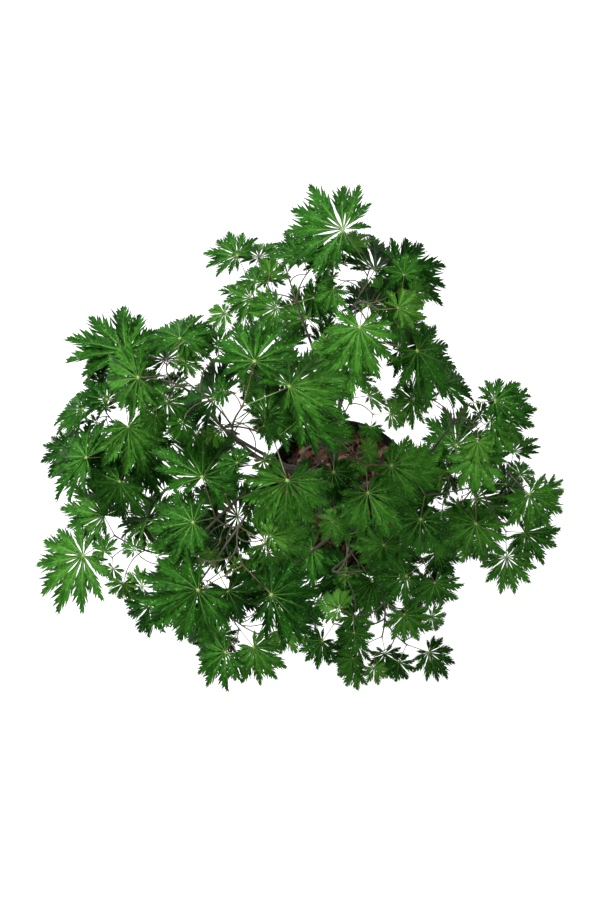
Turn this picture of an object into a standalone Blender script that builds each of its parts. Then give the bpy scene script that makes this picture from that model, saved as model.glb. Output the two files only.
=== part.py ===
"""Potted full moon maple: a nursery pot filled with compost and bark, a short trunk that forks low, main
boughs, and masses of deeply cut leaves. Metres, +Z up. The origin is the centre of the pot's flat underside.
Run it with blender --background --python part.py, or from the Text Editor."""

import math
import random

import bmesh
import bpy
import numpy as np

OBJECT_NAME = "potted_full_moon_maple"
GAP = 0.0003

# pot
POT_HEIGHT = 0.215
POT_RIM_RADIUS = 0.125
POT_COLLAR_HEIGHT = 0.024
POT_COLLAR_STEP = 0.0026
POT_WALL_TOP_RADIUS = 0.1195
POT_BASE_RADIUS = 0.094
POT_WALL = 0.0020
POT_FLOOR = 0.0026
POT_SIDES = 40
DRAIN_HOLES = 6
DRAIN_RADIUS = 0.0065
DRAIN_CIRCLE = 0.070

# compost
SOIL_TOP = 0.190
SOIL_FLAT_RADIUS = 0.036
SOIL_EDGE_DROP = 0.004

# trunk
TRUNK_FORK = (-0.010, 0.004, 0.294)
TRUNK_FLARE_RADIUS = 0.0165
TRUNK_LOWER_RADIUS = 0.0098
TRUNK_GRAFT_RADIUS = 0.0108
TRUNK_TOP_RADIUS = 0.0062
TRUNK_RINGS = 11
BOUGH_RINGS = 7

# twigs and leaves
STEM_RADIUS = 0.0015
PETIOLE_RADIUS = 0.0009
BLADE_THICKNESS = 0.0018
BLADE_FALL = 0.17
LARGE_LEAF = 0.083
SMALL_LEAF = 0.053
TURNS_TRIED = 5
TWIG_ROOM = 0.0016
BLADE_ROOM = 0.0022
SAMPLE_STEP = 0.004
LOBE_ANGLES = (0, 31, 62, 95, 132)
LOBE_LENGTHS = (1.0, 0.95, 0.82, 0.64, 0.42)
MIDDLE_ANGLES = (0, 41, 83, 127)
MIDDLE_LENGTHS = (1.0, 0.92, 0.72, 0.45)
SMALL_ANGLES = (0, 54, 114)
SMALL_LENGTHS = (1.0, 0.88, 0.56)

# parent, share of the parent's length where it leaves, tip in cm, radii at both ends in mm, lift
BOUGHS = {
    "bough_leader": ("trunk", 1.0, (-9.5, -1.5, 60.0), 5.4, 2.4, 0.55),
    "bough_front": ("trunk", 0.58, (5.0, -15.6, 41.5), 3.9, 1.8, 0.55),
    "bough_left": ("trunk", 0.68, (-21.8, 4.4, 53.0), 4.2, 2.0, 0.40),
    "bough_right": ("trunk", 0.79, (16.5, -1.7, 50.0), 4.1, 2.0, 0.50),
    "bough_back": ("trunk", 0.90, (0.3, 18.6, 60.0), 4.2, 2.0, 0.35),
    "bough_top": ("bough_leader", 0.80, (-13.7, 0.2, 70.0), 2.6, 1.9, 0.60),
    "bough_top_front": ("bough_leader", 0.88, (-11.8, -6.7, 66.0), 2.4, 1.8, 0.50),
    "bough_middle": ("bough_leader", 0.55, (-5.7, 1.1, 57.0), 2.5, 1.8, 0.70),
    "bough_back_near": ("bough_back", 0.62, (2.3, 15.6, 51.5), 2.3, 1.8, 0.45),
    "bough_back_mid": ("bough_back", 0.50, (-5.2, 17.6, 54.5), 2.4, 1.8, 0.40),
    "bough_back_left": ("bough_back", 0.34, (-10.2, 18.6, 51.5), 2.6, 1.8, 0.40),
    "bough_left_back": ("bough_left", 0.66, (-21.0, 9.0, 57.0), 2.4, 1.8, 0.50),
    "bough_left_front": ("bough_left", 0.48, (-20.4, -10.4, 51.5), 2.5, 1.8, 0.45),
    "bough_right_back": ("bough_right", 0.58, (12.6, 3.2, 53.5), 2.4, 1.8, 0.50),
    "bough_right_front": ("bough_right", 0.46, (10.2, -8.1, 45.5), 2.4, 1.8, 0.45),
    "bough_front_mid": ("bough_front", 0.60, (-1.4, -13.0, 41.5), 2.3, 1.8, 0.60),
    "bough_front_left": ("bough_front", 0.34, (-14.9, -17.2, 50.0), 2.7, 1.8, 0.50),
    "bough_low_front": ("bough_right", 0.16, (2.0, -5.5, 35.5), 2.4, 1.8, 0.50),
    "bough_low_left": ("bough_leader", 0.24, (-8.0, -5.5, 41.0), 2.4, 1.8, 0.50),
    "bough_low_back": ("bough_back", 0.20, (-4.0, 8.0, 42.0), 2.4, 1.8, 0.50),
    "bough_low_right": ("bough_right", 0.26, (6.0, -1.0, 37.5), 2.4, 1.8, 0.40),
}

# bough, end of its stem in cm, nodes, leaf radius at the first and last node in mm,
# side shoot in mm, nodes that bear side shoots, seed
MASSES = {
    "foliage_top": ("bough_top", (-13.0, 2.5, 79.5), 2, 88, 93, 75, 1, 178),
    "foliage_top_front": ("bough_top_front", (-21.0, -20.5, 68.0), 3, 92, 43, 43, 1, 633),
    "foliage_middle": ("bough_middle", (2.0, -2.0, 65.0), 3, 43, 59, 75, 1, 461),
    "foliage_back": ("bough_back", (3.5, 17.0, 69.5), 3, 98, 42, 42, 1, 231),
    "foliage_back_near": ("bough_back_near", (2.5, 17.5, 52.5), 2, 64, 67, 47, 1, 295),
    "foliage_back_mid": ("bough_back_mid", (-8.5, 27.0, 58.0), 2, 55, 34, 36, 1, 344),
    "foliage_back_left": ("bough_back_left", (-13.5, 27.0, 49.0), 2, 40, 53, 30, 1, 642),
    "foliage_left": ("bough_left", (-36.0, 4.5, 50.5), 3, 92, 51, 41, 2, 107),
    "foliage_left_back": ("bough_left_back", (-27.5, 11.0, 57.0), 2, 68, 74, 54, 1, 343),
    "foliage_left_front": ("bough_left_front", (-32.0, -9.0, 47.0), 3, 52, 80, 68, 1, 395),
    "foliage_right": ("bough_right", (17.0, -4.0, 56.5), 3, 68, 71, 66, 2, 106),
    "foliage_right_back": ("bough_right_back", (16.0, 7.0, 60.0), 2, 70, 57, 49, 1, 124),
    "foliage_right_front": ("bough_right_front", (9.5, -9.0, 46.0), 2, 62, 49, 37, 1, 885),
    "foliage_front": ("bough_front", (5.5, -22.5, 37.0), 3, 52, 47, 56, 2, 558),
    "foliage_front_mid": ("bough_front_mid", (2.5, -13.5, 42.5), 2, 54, 53, 67, 1, 762),
    "foliage_front_left": ("bough_front_left", (-17.0, -20.0, 46.5), 3, 67, 50, 52, 2, 161),
    "foliage_low_front": ("bough_low_front", (-2.0, -8.0, 36.5), 2, 85, 76, 46, 1, 527),
    "foliage_low_left": ("bough_low_left", (-14.5, -12.5, 39.5), 3, 99, 61, 33, 1, 368),
    "foliage_low_back": ("bough_low_back", (-9.0, 14.5, 42.0), 2, 71, 50, 70, 1, 638),
    "foliage_low_right": ("bough_low_right", (13.5, -6.5, 42.0), 2, 94, 42, 65, 1, 307),
}

COLOURS = {
    "pot": (0.018, 0.018, 0.020, 0.55),
    "soil": (0.085, 0.035, 0.020, 0.95),
    "trunk": (0.110, 0.085, 0.060, 0.85),
    "bough": (0.070, 0.055, 0.042, 0.80),
    "foliage": (0.055, 0.190, 0.030, 0.50),
}


def unit(v):
    return v / math.sqrt(v[0] * v[0] + v[1] * v[1] + v[2] * v[2])


def level(v):
    length = math.hypot(v[0], v[1])
    return np.array([v[0] / length, v[1] / length, 0.0]) if length > 1e-6 else np.array([1.0, 0.0, 0.0])


def turned(v, degrees):
    a = math.radians(degrees)
    return np.array([v[0] * math.cos(a) - v[1] * math.sin(a), v[0] * math.sin(a) + v[1] * math.cos(a), v[2]])


def arc(a, b, c, count):
    """Points of the quadratic curve from a to c that heads for b."""
    t = np.linspace(0.0, 1.0, count)[:, None]
    return (1 - t) ** 2 * a + 2 * t * (1 - t) * b + t * t * c


def along(path, share):
    """Point and direction at a share of a path's points."""
    place = share * (len(path) - 1)
    k = min(int(place), len(path) - 2)
    f = place - k
    return path[k] * (1 - f) + path[k + 1] * f, unit(path[k + 1] - path[k])


def samples(path, radii):
    """The path again as dots at an even step, with the radius at each."""
    reach = np.r_[0.0, np.cumsum(np.linalg.norm(np.diff(path, axis=0), axis=1))]
    t = np.linspace(0.0, reach[-1], max(2, int(reach[-1] / SAMPLE_STEP) + 1))
    return np.stack([np.interp(t, reach, path[:, k]) for k in range(3)], axis=1), np.interp(t, reach, radii)


# ---- limbs ----

def limb_paths():
    """Every limb as its points and radii: the trunk first, then each bough from its parent's centre line."""
    foot = np.array([0.0, 0.0, SOIL_TOP + GAP])
    fork = np.array(TRUNK_FORK)
    bend = np.array([0.004, -0.001, foot[2] + 0.055])
    t = np.linspace(0.0, 1.0, TRUNK_RINGS)
    path = arc(foot, bend, fork, TRUNK_RINGS)
    path[1, :2] = foot[:2]
    taper = TRUNK_LOWER_RADIUS + (TRUNK_TOP_RADIUS - TRUNK_LOWER_RADIUS) * t
    flare = (TRUNK_FLARE_RADIUS - TRUNK_LOWER_RADIUS) * np.exp(-(t / 0.13) ** 1.6)
    graft = (TRUNK_GRAFT_RADIUS - TRUNK_LOWER_RADIUS) * np.exp(-((t - 0.42) / 0.10) ** 2)
    limbs = {"trunk": (path, taper + flare + graft)}
    for name, (parent, share, tip, r0, r1, lift) in BOUGHS.items():
        start, onward = along(limbs[parent][0], share)
        tip = np.array(tip) / 100
        reach = np.linalg.norm(tip - start)
        heading = unit(unit(tip - start) * 0.65 + onward * 0.35 + np.array([0.0, 0.0, 0.12]))
        if share == 1.0:
            heading = unit(heading + onward)
        path = arc(start, start + heading * reach * lift, tip, BOUGH_RINGS)
        limbs[name] = (path, np.linspace(r0, r1, BOUGH_RINGS) / 1000)
    return limbs


# ---- growth rule ----

def probe_points():
    """Shares of a blade's radius, as x, y and fall, that stand for the whole blade in the tests."""
    rows = [(0.0, 0.0)]
    for angle, length in zip(LOBE_ANGLES, LOBE_LENGTHS):
        for side in ((1, -1) if angle else (1,)):
            for share, lean in ((0.35, 0), (0.7, -9), (0.7, 9), (0.97, 0)):
                rows.append((length * share, math.radians(side * (angle + lean))))
    rho, theta = np.array(rows).T
    return np.stack([rho * np.cos(theta), rho * np.sin(theta), -BLADE_FALL * rho ** 2], axis=1)


PROBE = probe_points()
REACH_ANGLES = np.radians(LOBE_ANGLES + (180,))
REACH_LENGTHS = np.array(LOBE_LENGTHS + (0.15,))


class Leaf:
    """A blade: centre, axes (forward, side, normal) and radius."""

    def __init__(self, centre, forward, up, radius):
        self.centre = centre
        self.forward = unit(forward)
        self.normal = unit(up - self.forward * np.dot(up, self.forward))
        self.side = np.cross(self.normal, self.forward)
        self.radius = radius
        self.axes = np.array([self.forward, self.side, self.normal])
        self.probes = centre + radius * PROBE @ self.axes

    def height(self, points):
        """How high each point lies over the drooping blade, and which of them lie over it at all."""
        q = (points - self.centre) @ self.axes.T / self.radius
        rho = np.hypot(q[:, 0], q[:, 1])
        over = rho < np.interp(np.abs(np.arctan2(q[:, 1], q[:, 0])), REACH_ANGLES, REACH_LENGTHS)
        return (q[:, 2] + BLADE_FALL * rho * rho) * self.radius, over

    def meets(self, other):
        for one, two in ((self, other), (other, self)):
            height, over = two.height(one.probes)
            if over.any() and height[over].min() < BLADE_ROOM and height[over].max() > -BLADE_ROOM:
                return True
        return False

    def is_crossed(self, dots, radii):
        height, over = self.height(dots)
        return bool((over & (np.abs(height) < radii + BLADE_ROOM)).any())


class Crown:
    """Everything grown so far, and the tests that a new twig or leaf has to pass."""

    def __init__(self, limbs):
        self.limbs = limbs
        self.leaves = []
        found = [samples(*limb) for limb in limbs.values()]
        self.dots = np.concatenate([f[0] for f in found])
        self.radii = np.concatenate([f[1] for f in found])

    def add_twig(self, path, radii):
        dots, r = samples(path, radii)
        self.dots = np.r_[self.dots, dots]
        self.radii = np.r_[self.radii, r]

    def twig_is_free(self, path, radii, skipped):
        dots, r = samples(path, radii)
        dots = dots[skipped:]
        r = r[skipped:]
        if not len(dots):
            return True
        middle = dots.mean(axis=0)
        for leaf in self.leaves:
            if np.linalg.norm(leaf.centre - middle) < leaf.radius + 0.06 and leaf.is_crossed(dots, r):
                return False
        near = (np.abs(self.dots - middle) < 0.08).all(axis=1)
        between = np.linalg.norm(self.dots[near][:, None] - dots[None], axis=2)
        return not (between - self.radii[near][:, None] - r[None] < TWIG_ROOM).any()

    def try_leaf(self, rng, node, ahead, side, spread, size, fresh):
        """One leaf on its petiole from a node, turned by the draw, or None where it would touch anything."""
        azimuth = turned(level(ahead), side * (spread + rng.uniform(-30, 30)))
        rise = math.radians(rng.uniform(0, 38))
        radius = size * rng.uniform(0.80, 1.18)
        length = radius * rng.uniform(0.38, 0.72)
        stalk = azimuth * math.cos(rise) + np.array([0.0, 0.0, math.sin(rise)])
        centre = node + stalk * length
        pitch = math.radians(rng.uniform(8, 42))
        facing = turned(azimuth, rng.uniform(-28, 28))
        forward = facing * math.cos(pitch) - np.array([0.0, 0.0, math.sin(pitch)])
        roll = math.radians(rng.uniform(-20, 20))
        up = np.array([0.0, 0.0, math.cos(roll)]) + turned(facing, 90) * math.sin(roll)
        leaf = Leaf(centre, forward, up, radius)
        path = arc(node, node + unit(stalk + azimuth * 0.4) * length * 0.5, centre, 4)
        radii = PETIOLE_RADIUS * np.linspace(1.15, 0.9, 4)
        for other in self.leaves:
            if np.linalg.norm(other.centre - centre) < other.radius + radius and leaf.meets(other):
                return None
        near = (np.abs(self.dots - centre) < radius).all(axis=1)
        if near.any() and leaf.is_crossed(self.dots[near], self.radii[near]):
            return None
        if any(leaf.is_crossed(*samples(*twig)) for twig in fresh):
            return None
        if not self.twig_is_free(path, radii, 1):
            return None
        return leaf, path, radii

    def shade(self, leaf):
        """How far a leaf would lie over or under its neighbours, seen in plan."""
        if not self.leaves:
            return 0.0
        centres = np.array([other.centre[:2] for other in self.leaves])
        reach = np.array([other.radius for other in self.leaves]) + leaf.radius
        apart = np.linalg.norm(centres - leaf.centre[:2] - leaf.forward[:2] * leaf.radius * 0.35, axis=1)
        return np.maximum(0.0, 1.0 - apart / reach / 0.8).sum()

    def grow_mass(self, bough, tip, nodes, first_size, last_size, side_length, shooting, seed):
        """A stem on from its bough's tip, side shoots at its first nodes, and a pair of leaves at every node
        and shoot tip. Each leaf takes the least shaded of a few draws. Returns the stem, twigs and leaves."""
        rng = random.Random(seed)
        bough_path = self.limbs[bough][0]
        onward = unit(bough_path[-1] - bough_path[-2])
        start = bough_path[-1] + onward * GAP
        tip = np.array(tip) / 100
        stem = arc(start, start + onward * np.linalg.norm(tip - start) * 0.45, tip, 7)
        fresh = [(stem, STEM_RADIUS * np.linspace(1.1, 0.75, 7))]
        petioles = []
        leaves = []

        def bear_leaf(node, ahead, side, spread, size):
            best = None
            for _ in range(TURNS_TRIED):
                found = self.try_leaf(rng, node, ahead, side, spread, size, fresh)
                if found and (best is None or self.shade(found[0]) < best[0]):
                    best = (self.shade(found[0]), found)
            if best:
                leaf, path, radii = best[1]
                self.leaves.append(leaf)
                leaves.append(leaf)
                petioles.append((path, radii))
                self.add_twig(path[1:], radii[1:])

        for k in range(nodes):
            node, ahead = along(stem, (k + 1) / nodes)
            size = (first_size + (last_size - first_size) * k / max(1, nodes - 1)) / 1000
            last = k == nodes - 1
            for side in (1, -1):
                if k >= shooting or last:
                    continue
                for _ in range(3):
                    azimuth = turned(level(ahead), side * rng.uniform(38, 82))
                    shoot = unit(azimuth + np.array([0.0, 0.0, rng.uniform(-0.35, 0.40)]))
                    length = side_length / 1000 * rng.uniform(0.7, 1.35)
                    end = node + shoot * length
                    path = arc(node, node + unit(shoot + ahead) * length * 0.5, end, 4)
                    radii = STEM_RADIUS * np.linspace(0.85, 0.6, 4)
                    if self.twig_is_free(path, radii, 1):
                        fresh.append((path, radii))
                        bear_leaf(end, shoot, 1, 46, size * 0.9)
                        bear_leaf(end, shoot, -1, 46, size * 0.9)
                        break
            for side in (1, -1):
                bear_leaf(node, ahead, side, 38 if last else 70, size)
        for twig in fresh:
            self.add_twig(*twig)
        return onward, fresh, petioles, leaves


# ---- making the objects ----

def material(name, kind):
    red, green, blue, rough = COLOURS[kind]
    made = bpy.data.materials.new(name + "_material")
    made.use_nodes = True
    shader = made.node_tree.nodes["Principled BSDF"]
    shader.inputs["Base Color"].default_value = (red, green, blue, 1.0)
    shader.inputs["Roughness"].default_value = rough
    shader.inputs["Metallic"].default_value = 0.0
    made.diffuse_color = (red, green, blue, 1.0)
    return made


def new_object(name, data, kind, collection, location=(0.0, 0.0, 0.0)):
    made = bpy.data.objects.new(name, data)
    made.location = location
    collection.objects.link(made)
    if kind:
        data.materials.append(material(name, kind))
    return made


def turned_object(name, profile, kind, collection):
    """A profile in the XZ plane, down its outer side, turned about Z with a Screw modifier."""
    data = bpy.data.meshes.new(name)
    data.from_pydata([(r, 0.0, z) for r, z in profile], [(k, k + 1) for k in range(len(profile) - 1)], [])
    made = new_object(name, data, kind, collection)
    screw = made.modifiers.new("Turn", "SCREW")
    screw.steps = POT_SIDES
    screw.render_steps = POT_SIDES
    screw.use_merge_vertices = True
    screw.merge_threshold = 0.00001
    screw.use_smooth_shade = True
    return made


def tube_mesh(name, path, radii, sides, origin, past=0.0, facing=None):
    """A closed tube along a path, with its far end carried on by a little. Its first ring faces facing."""
    path = np.array(path)
    if past:
        path[-1] = path[-1] + unit(path[-1] - path[-2]) * past
    heading = np.gradient(path, axis=0)
    heading /= np.linalg.norm(heading, axis=1)[:, None]
    heading[0] = unit(path[1] - path[0]) if facing is None else facing
    across = np.cross(heading[0], [0.0, 0.0, 1.0])
    if np.linalg.norm(across) < 0.2:
        across = np.cross(heading[0], [1.0, 0.0, 0.0])
    angles = np.arange(sides) * 2 * math.pi / sides
    rings = []
    for point, ahead, radius in zip(path, heading, radii):
        across = unit(across - ahead * np.dot(across, ahead))
        other = np.cross(ahead, across)
        rings.append(point - origin + radius * (np.cos(angles)[:, None] * across + np.sin(angles)[:, None] * other))
    points = np.concatenate(rings)
    faces = []
    for k in range(len(rings) - 1):
        for j in range(sides):
            i = (j + 1) % sides
            faces.append((k * sides + j, k * sides + i, (k + 1) * sides + i, (k + 1) * sides + j))
    faces.append(tuple(range(sides - 1, -1, -1)))
    faces.append(tuple(len(points) - sides + j for j in range(sides)))
    data = bpy.data.meshes.new(name)
    data.from_pydata(points.tolist(), [], faces)
    return data


def leaf_mesh(name, leaf, path, radii, origin):
    """A leaf with its petiole. The blade is a lens with the lobed outline: an upper and a lower fan that share
    their edge. Behind its hub the two fans stay open, and the petiole's last ring is that opening."""
    angles, lengths = LOBE_ANGLES, LOBE_LENGTHS
    if leaf.radius < LARGE_LEAF:
        angles, lengths = MIDDLE_ANGLES, MIDDLE_LENGTHS
    if leaf.radius < SMALL_LEAF:
        angles, lengths = SMALL_ANGLES, SMALL_LENGTHS
    angles = [-a for a in angles[:0:-1]] + list(angles)
    lengths = list(lengths[:0:-1]) + list(lengths)
    edge = [(0.09, -163)]
    for k, (angle, length) in enumerate(zip(angles, lengths)):
        low = (angles[k - 1] + angle) / 2 if k else angle - 20
        high = (angles[k + 1] + angle) / 2 if k < len(angles) - 1 else angle + 20
        edge.append((length * 0.72, angle - (angle - low) * 0.82))
        edge.append((length, angle))
        edge.append((length * 0.72, angle + (high - angle) * 0.82))
        if k < len(angles) - 1:
            edge.append((0.24, high))
    edge.append((0.09, 163))
    rho = np.array([e[0] for e in edge])
    theta = np.radians([e[1] for e in edge])
    flat = np.stack([rho * np.cos(theta), rho * np.sin(theta), -BLADE_FALL * rho ** 2], axis=1)
    centre = leaf.centre - origin
    half = max(BLADE_THICKNESS, leaf.radius * 0.021) / 2
    points = list(centre + leaf.radius * flat @ leaf.axes)
    last = len(points) - 1
    upper = last + 1
    lower = last + 2
    points += [centre + leaf.normal * half, centre - leaf.normal * half]
    faces = [(j, j + 1, upper) for j in range(last)]
    faces += [(j + 1, j, lower) for j in range(last)]
    ring = (upper, last, lower, 0)
    for k in range(len(path) - 2, -1, -1):
        ahead = unit(path[k + 1] - path[k])
        top = unit(leaf.normal - ahead * np.dot(leaf.normal, ahead))
        left = np.cross(top, ahead)
        first = len(points)
        points += [path[k] - origin + radii[k] * way for way in (top, left, -top, -left)]
        new_ring = tuple(range(first, first + 4))
        for j in range(4):
            i = (j + 1) % 4
            faces.append((ring[j], ring[i], new_ring[i], new_ring[j]))
        ring = new_ring
    faces.append(ring)
    data = bpy.data.meshes.new(name)
    data.from_pydata([tuple(q) for q in points], [], faces)
    solid = bmesh.new()
    solid.from_mesh(data)
    bmesh.ops.recalc_face_normals(solid, faces=solid.faces[:])
    solid.to_mesh(data)
    solid.free()
    return data


def limb_object(name, path, radii, kind, collection, grown=0.0):
    """A limb as a curve with a bevel and a radius at each point, made a mesh with its caps welded."""
    curve = bpy.data.curves.new(name + "_curve", "CURVE")
    curve.dimensions = "3D"
    curve.bevel_depth = 1.0
    curve.bevel_resolution = 4 if name.startswith("trunk") else 1
    curve.use_fill_caps = True
    curve.twist_mode = "MINIMUM"
    spline = curve.splines.new("POLY")
    spline.points.add(len(path) - 1)
    origin = path[0]
    for point, place, radius in zip(spline.points, path, radii):
        point.co = (*(place - origin), 1.0)
        point.radius = radius + grown
    drawn = bpy.data.objects.new(name + "_curve", curve)
    collection.objects.link(drawn)
    drawn.location = origin
    bpy.context.view_layer.update()
    data = bpy.data.meshes.new_from_object(drawn.evaluated_get(bpy.context.evaluated_depsgraph_get()))
    data.name = name
    data.materials.clear()
    bpy.data.objects.remove(drawn)
    bpy.data.curves.remove(curve)
    solid = bmesh.new()
    solid.from_mesh(data)
    bmesh.ops.remove_doubles(solid, verts=solid.verts[:], dist=0.00001)
    bmesh.ops.recalc_face_normals(solid, faces=solid.faces[:])
    solid.to_mesh(data)
    solid.free()
    return new_object(name, data, kind, collection, origin)


def apply_modifiers(made):
    bpy.context.view_layer.update()
    data = bpy.data.meshes.new_from_object(made.evaluated_get(bpy.context.evaluated_depsgraph_get()))
    old = made.data
    data.name = old.name
    made.modifiers.clear()
    made.data = data
    bpy.data.meshes.remove(old)


def keep_main_body(data):
    """Drops loose scraps and the inner skins of sealed hollows: the largest closed body stays."""
    solid = bmesh.new()
    solid.from_mesh(data)
    left = set(solid.verts)
    bodies = []
    while left:
        stack = [left.pop()]
        body = list(stack)
        while stack:
            for edge in stack.pop().link_edges:
                for vert in edge.verts:
                    if vert in left:
                        left.remove(vert)
                        stack.append(vert)
                        body.append(vert)
        bodies.append(body)
    bodies.sort(key=len)
    for body in bodies[:-1]:
        bmesh.ops.delete(solid, geom=body, context="VERTS")
    solid.to_mesh(data)
    solid.free()
    return len(bodies) - 1


def paths_meet(one, two, room):
    a, ra = samples(*one)
    b, rb = samples(*two)
    between = np.linalg.norm(a[:, None] - b[None], axis=2)
    return bool((between - ra[:, None] - rb[None] < room).any())


def build_pot(parts, cutters):
    """A tapering tub with a stepped collar, a rolled lip and drain holes in its floor."""
    collar = POT_HEIGHT - POT_COLLAR_HEIGHT
    inner_base = POT_BASE_RADIUS - POT_WALL
    inner_top = POT_WALL_TOP_RADIUS - POT_WALL
    profile = [
        (0.0, POT_FLOOR),
        (inner_base - 0.004, POT_FLOOR),
        (inner_base, POT_FLOOR + 0.004),
        (inner_top, collar),
        (inner_top + POT_COLLAR_STEP, collar + 0.003),
        (POT_RIM_RADIUS - 0.0032, POT_HEIGHT - 0.001),
        (POT_RIM_RADIUS - 0.0022, POT_HEIGHT),
        (POT_RIM_RADIUS - 0.0008, POT_HEIGHT),
        (POT_RIM_RADIUS, POT_HEIGHT - 0.001),
        (POT_RIM_RADIUS, POT_HEIGHT - 0.004),
        (POT_RIM_RADIUS - 0.0009, POT_HEIGHT - 0.005),
        (POT_WALL_TOP_RADIUS + POT_COLLAR_STEP, collar + 0.001),
        (POT_WALL_TOP_RADIUS, collar),
        (POT_BASE_RADIUS, 0.004),
        (POT_BASE_RADIUS - 0.003, 0.0),
        (0.0, 0.0),
    ]
    pot = turned_object("pot", profile, "pot", parts)
    for k in range(DRAIN_HOLES):
        angle = 2 * math.pi * (k + 0.5) / DRAIN_HOLES + 0.06
        data = bpy.data.meshes.new(f"drain_cutter_{k + 1}")
        shape = bmesh.new()
        bmesh.ops.create_cone(shape, cap_ends=True, segments=12, radius1=DRAIN_RADIUS, radius2=DRAIN_RADIUS,
                              depth=0.012)
        shape.to_mesh(data)
        shape.free()
        place = (DRAIN_CIRCLE * math.cos(angle), DRAIN_CIRCLE * math.sin(angle), 0.0)
        cutter = new_object(data.name, data, None, cutters, place)
        cutter.hide_render = True
        cutter.display_type = "WIRE"
        cut = pot.modifiers.new(f"Drain {k + 1}", "BOOLEAN")
        cut.operation = "DIFFERENCE"
        cut.object = cutter
    return pot


def build_soil(parts):
    """The fill: level round the trunk, falling a little to the wall, GAP clear of the pot all round."""
    collar = POT_HEIGHT - POT_COLLAR_HEIGHT
    inner_base = POT_BASE_RADIUS - POT_WALL - GAP
    inner_top = POT_WALL_TOP_RADIUS - POT_WALL - GAP
    edge = SOIL_TOP - SOIL_EDGE_DROP
    share = (edge - POT_FLOOR - 0.004) / (collar - POT_FLOOR - 0.004)
    profile = [
        (0.0, SOIL_TOP),
        (SOIL_FLAT_RADIUS, SOIL_TOP),
        (0.085, SOIL_TOP - 0.0015),
        (inner_base + (inner_top - inner_base) * share, edge),
        (inner_base, POT_FLOOR + 0.004),
        (inner_base - 0.004, POT_FLOOR + GAP),
        (0.0, POT_FLOOR + GAP),
    ]
    return turned_object("soil", profile, "soil", parts)


def build_limbs(limbs, parts, cutters):
    """The trunk and boughs. Each bough is cut back GAP clear of the limbs before it that it runs into."""
    names = list(limbs)
    for k, name in enumerate(names):
        path, radii = limbs[name]
        made = limb_object(name, path, radii, "trunk" if name == "trunk" else "bough", parts)
        for earlier in names[:k]:
            if not paths_meet(limbs[name], limbs[earlier], 0.0006):
                continue
            core, around = limbs[earlier]
            core = core.copy()
            core[-1] += unit(core[-1] - core[-2]) * GAP
            cutter = limb_object(earlier + "_cutter", core, around, None, cutters, GAP)
            cut = made.modifiers.new("Seat", "BOOLEAN")
            cut.operation = "DIFFERENCE"
            cut.object = cutter
            apply_modifiers(made)
            bpy.data.objects.remove(cutter)
        keep_main_body(made.data)
        made.data.shade_smooth()
        made.data.set_sharp_from_angle(angle=math.radians(50))


def build_mass(name, onward, fresh, petioles, leaves, parts):
    """One mass of foliage: its stem, shoots and leaves joined by one union."""
    group = bpy.data.collections.new(name + "_pieces")
    bpy.context.scene.collection.children.link(group)
    stem_path, stem_radii = fresh[0]
    start = stem_path[0]
    stem = tube_mesh(name, stem_path[::2], stem_radii[::2], 4, start, 0.002, onward)
    made = new_object(name, stem, "foliage", parts, start)
    for k, (path, radii) in enumerate(fresh[1:]):
        new_object(f"{name}_shoot_{k}", tube_mesh("shoot", path[[0, 2, 3]], radii[[0, 2, 3]], 3, start, 0.0018),
                   None, group, start)
    for k, (leaf, (path, radii)) in enumerate(zip(leaves, petioles)):
        new_object(f"{name}_leaf_{k}", leaf_mesh("leaf", leaf, path[[0, 2, 3]], radii[[0, 2, 3]], start),
                   None, group, start)
    join = made.modifiers.new("Join", "BOOLEAN")
    join.operation = "UNION"
    join.operand_type = "COLLECTION"
    join.collection = group
    join.solver = "MANIFOLD"
    apply_modifiers(made)
    for piece in list(group.objects):
        data = piece.data
        bpy.data.objects.remove(piece)
        bpy.data.meshes.remove(data)
    bpy.data.collections.remove(group)
    keep_main_body(made.data)
    return made


def main():
    for old in list(bpy.data.objects):
        bpy.data.objects.remove(old, do_unlink=True)
    parts = bpy.data.collections.new(OBJECT_NAME)
    cutters = bpy.data.collections.new("cutters")
    for collection in (parts, cutters):
        bpy.context.scene.collection.children.link(collection)
    root = bpy.data.objects.new("maple", None)
    root.empty_display_size = 0.1
    parts.objects.link(root)
    build_pot(parts, cutters)
    build_soil(parts)
    limbs = limb_paths()
    build_limbs(limbs, parts, cutters)
    crown = Crown(limbs)
    for name, row in MASSES.items():
        build_mass(name, *crown.grow_mass(*row), parts)
    for made in parts.objects:
        if made != root:
            made.parent = root
    bpy.context.view_layer.update()


main()
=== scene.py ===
import math
import random

import bmesh
import bpy
import numpy as np
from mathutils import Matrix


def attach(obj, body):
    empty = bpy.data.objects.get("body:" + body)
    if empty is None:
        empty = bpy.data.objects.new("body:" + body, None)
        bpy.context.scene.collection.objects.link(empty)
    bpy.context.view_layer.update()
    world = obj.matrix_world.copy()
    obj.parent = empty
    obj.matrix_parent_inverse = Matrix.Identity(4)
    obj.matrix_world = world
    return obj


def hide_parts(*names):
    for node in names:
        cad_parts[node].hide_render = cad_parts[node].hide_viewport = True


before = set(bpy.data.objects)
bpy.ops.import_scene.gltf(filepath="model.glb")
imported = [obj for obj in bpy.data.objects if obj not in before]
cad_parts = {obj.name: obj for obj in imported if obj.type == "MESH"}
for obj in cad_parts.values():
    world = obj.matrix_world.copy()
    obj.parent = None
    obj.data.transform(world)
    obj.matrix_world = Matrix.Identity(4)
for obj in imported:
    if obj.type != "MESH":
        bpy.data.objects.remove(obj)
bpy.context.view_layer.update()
nodeNames = sorted(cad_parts)
fullTurn = 2 * math.pi
print("frame loaded with", len(nodeNames), "nodes")


def unit(v):
    return v / math.sqrt(v[0] * v[0] + v[1] * v[1] + v[2] * v[2])


def upright(rise):
    return np.array([0.0, 0.0, rise])


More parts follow.
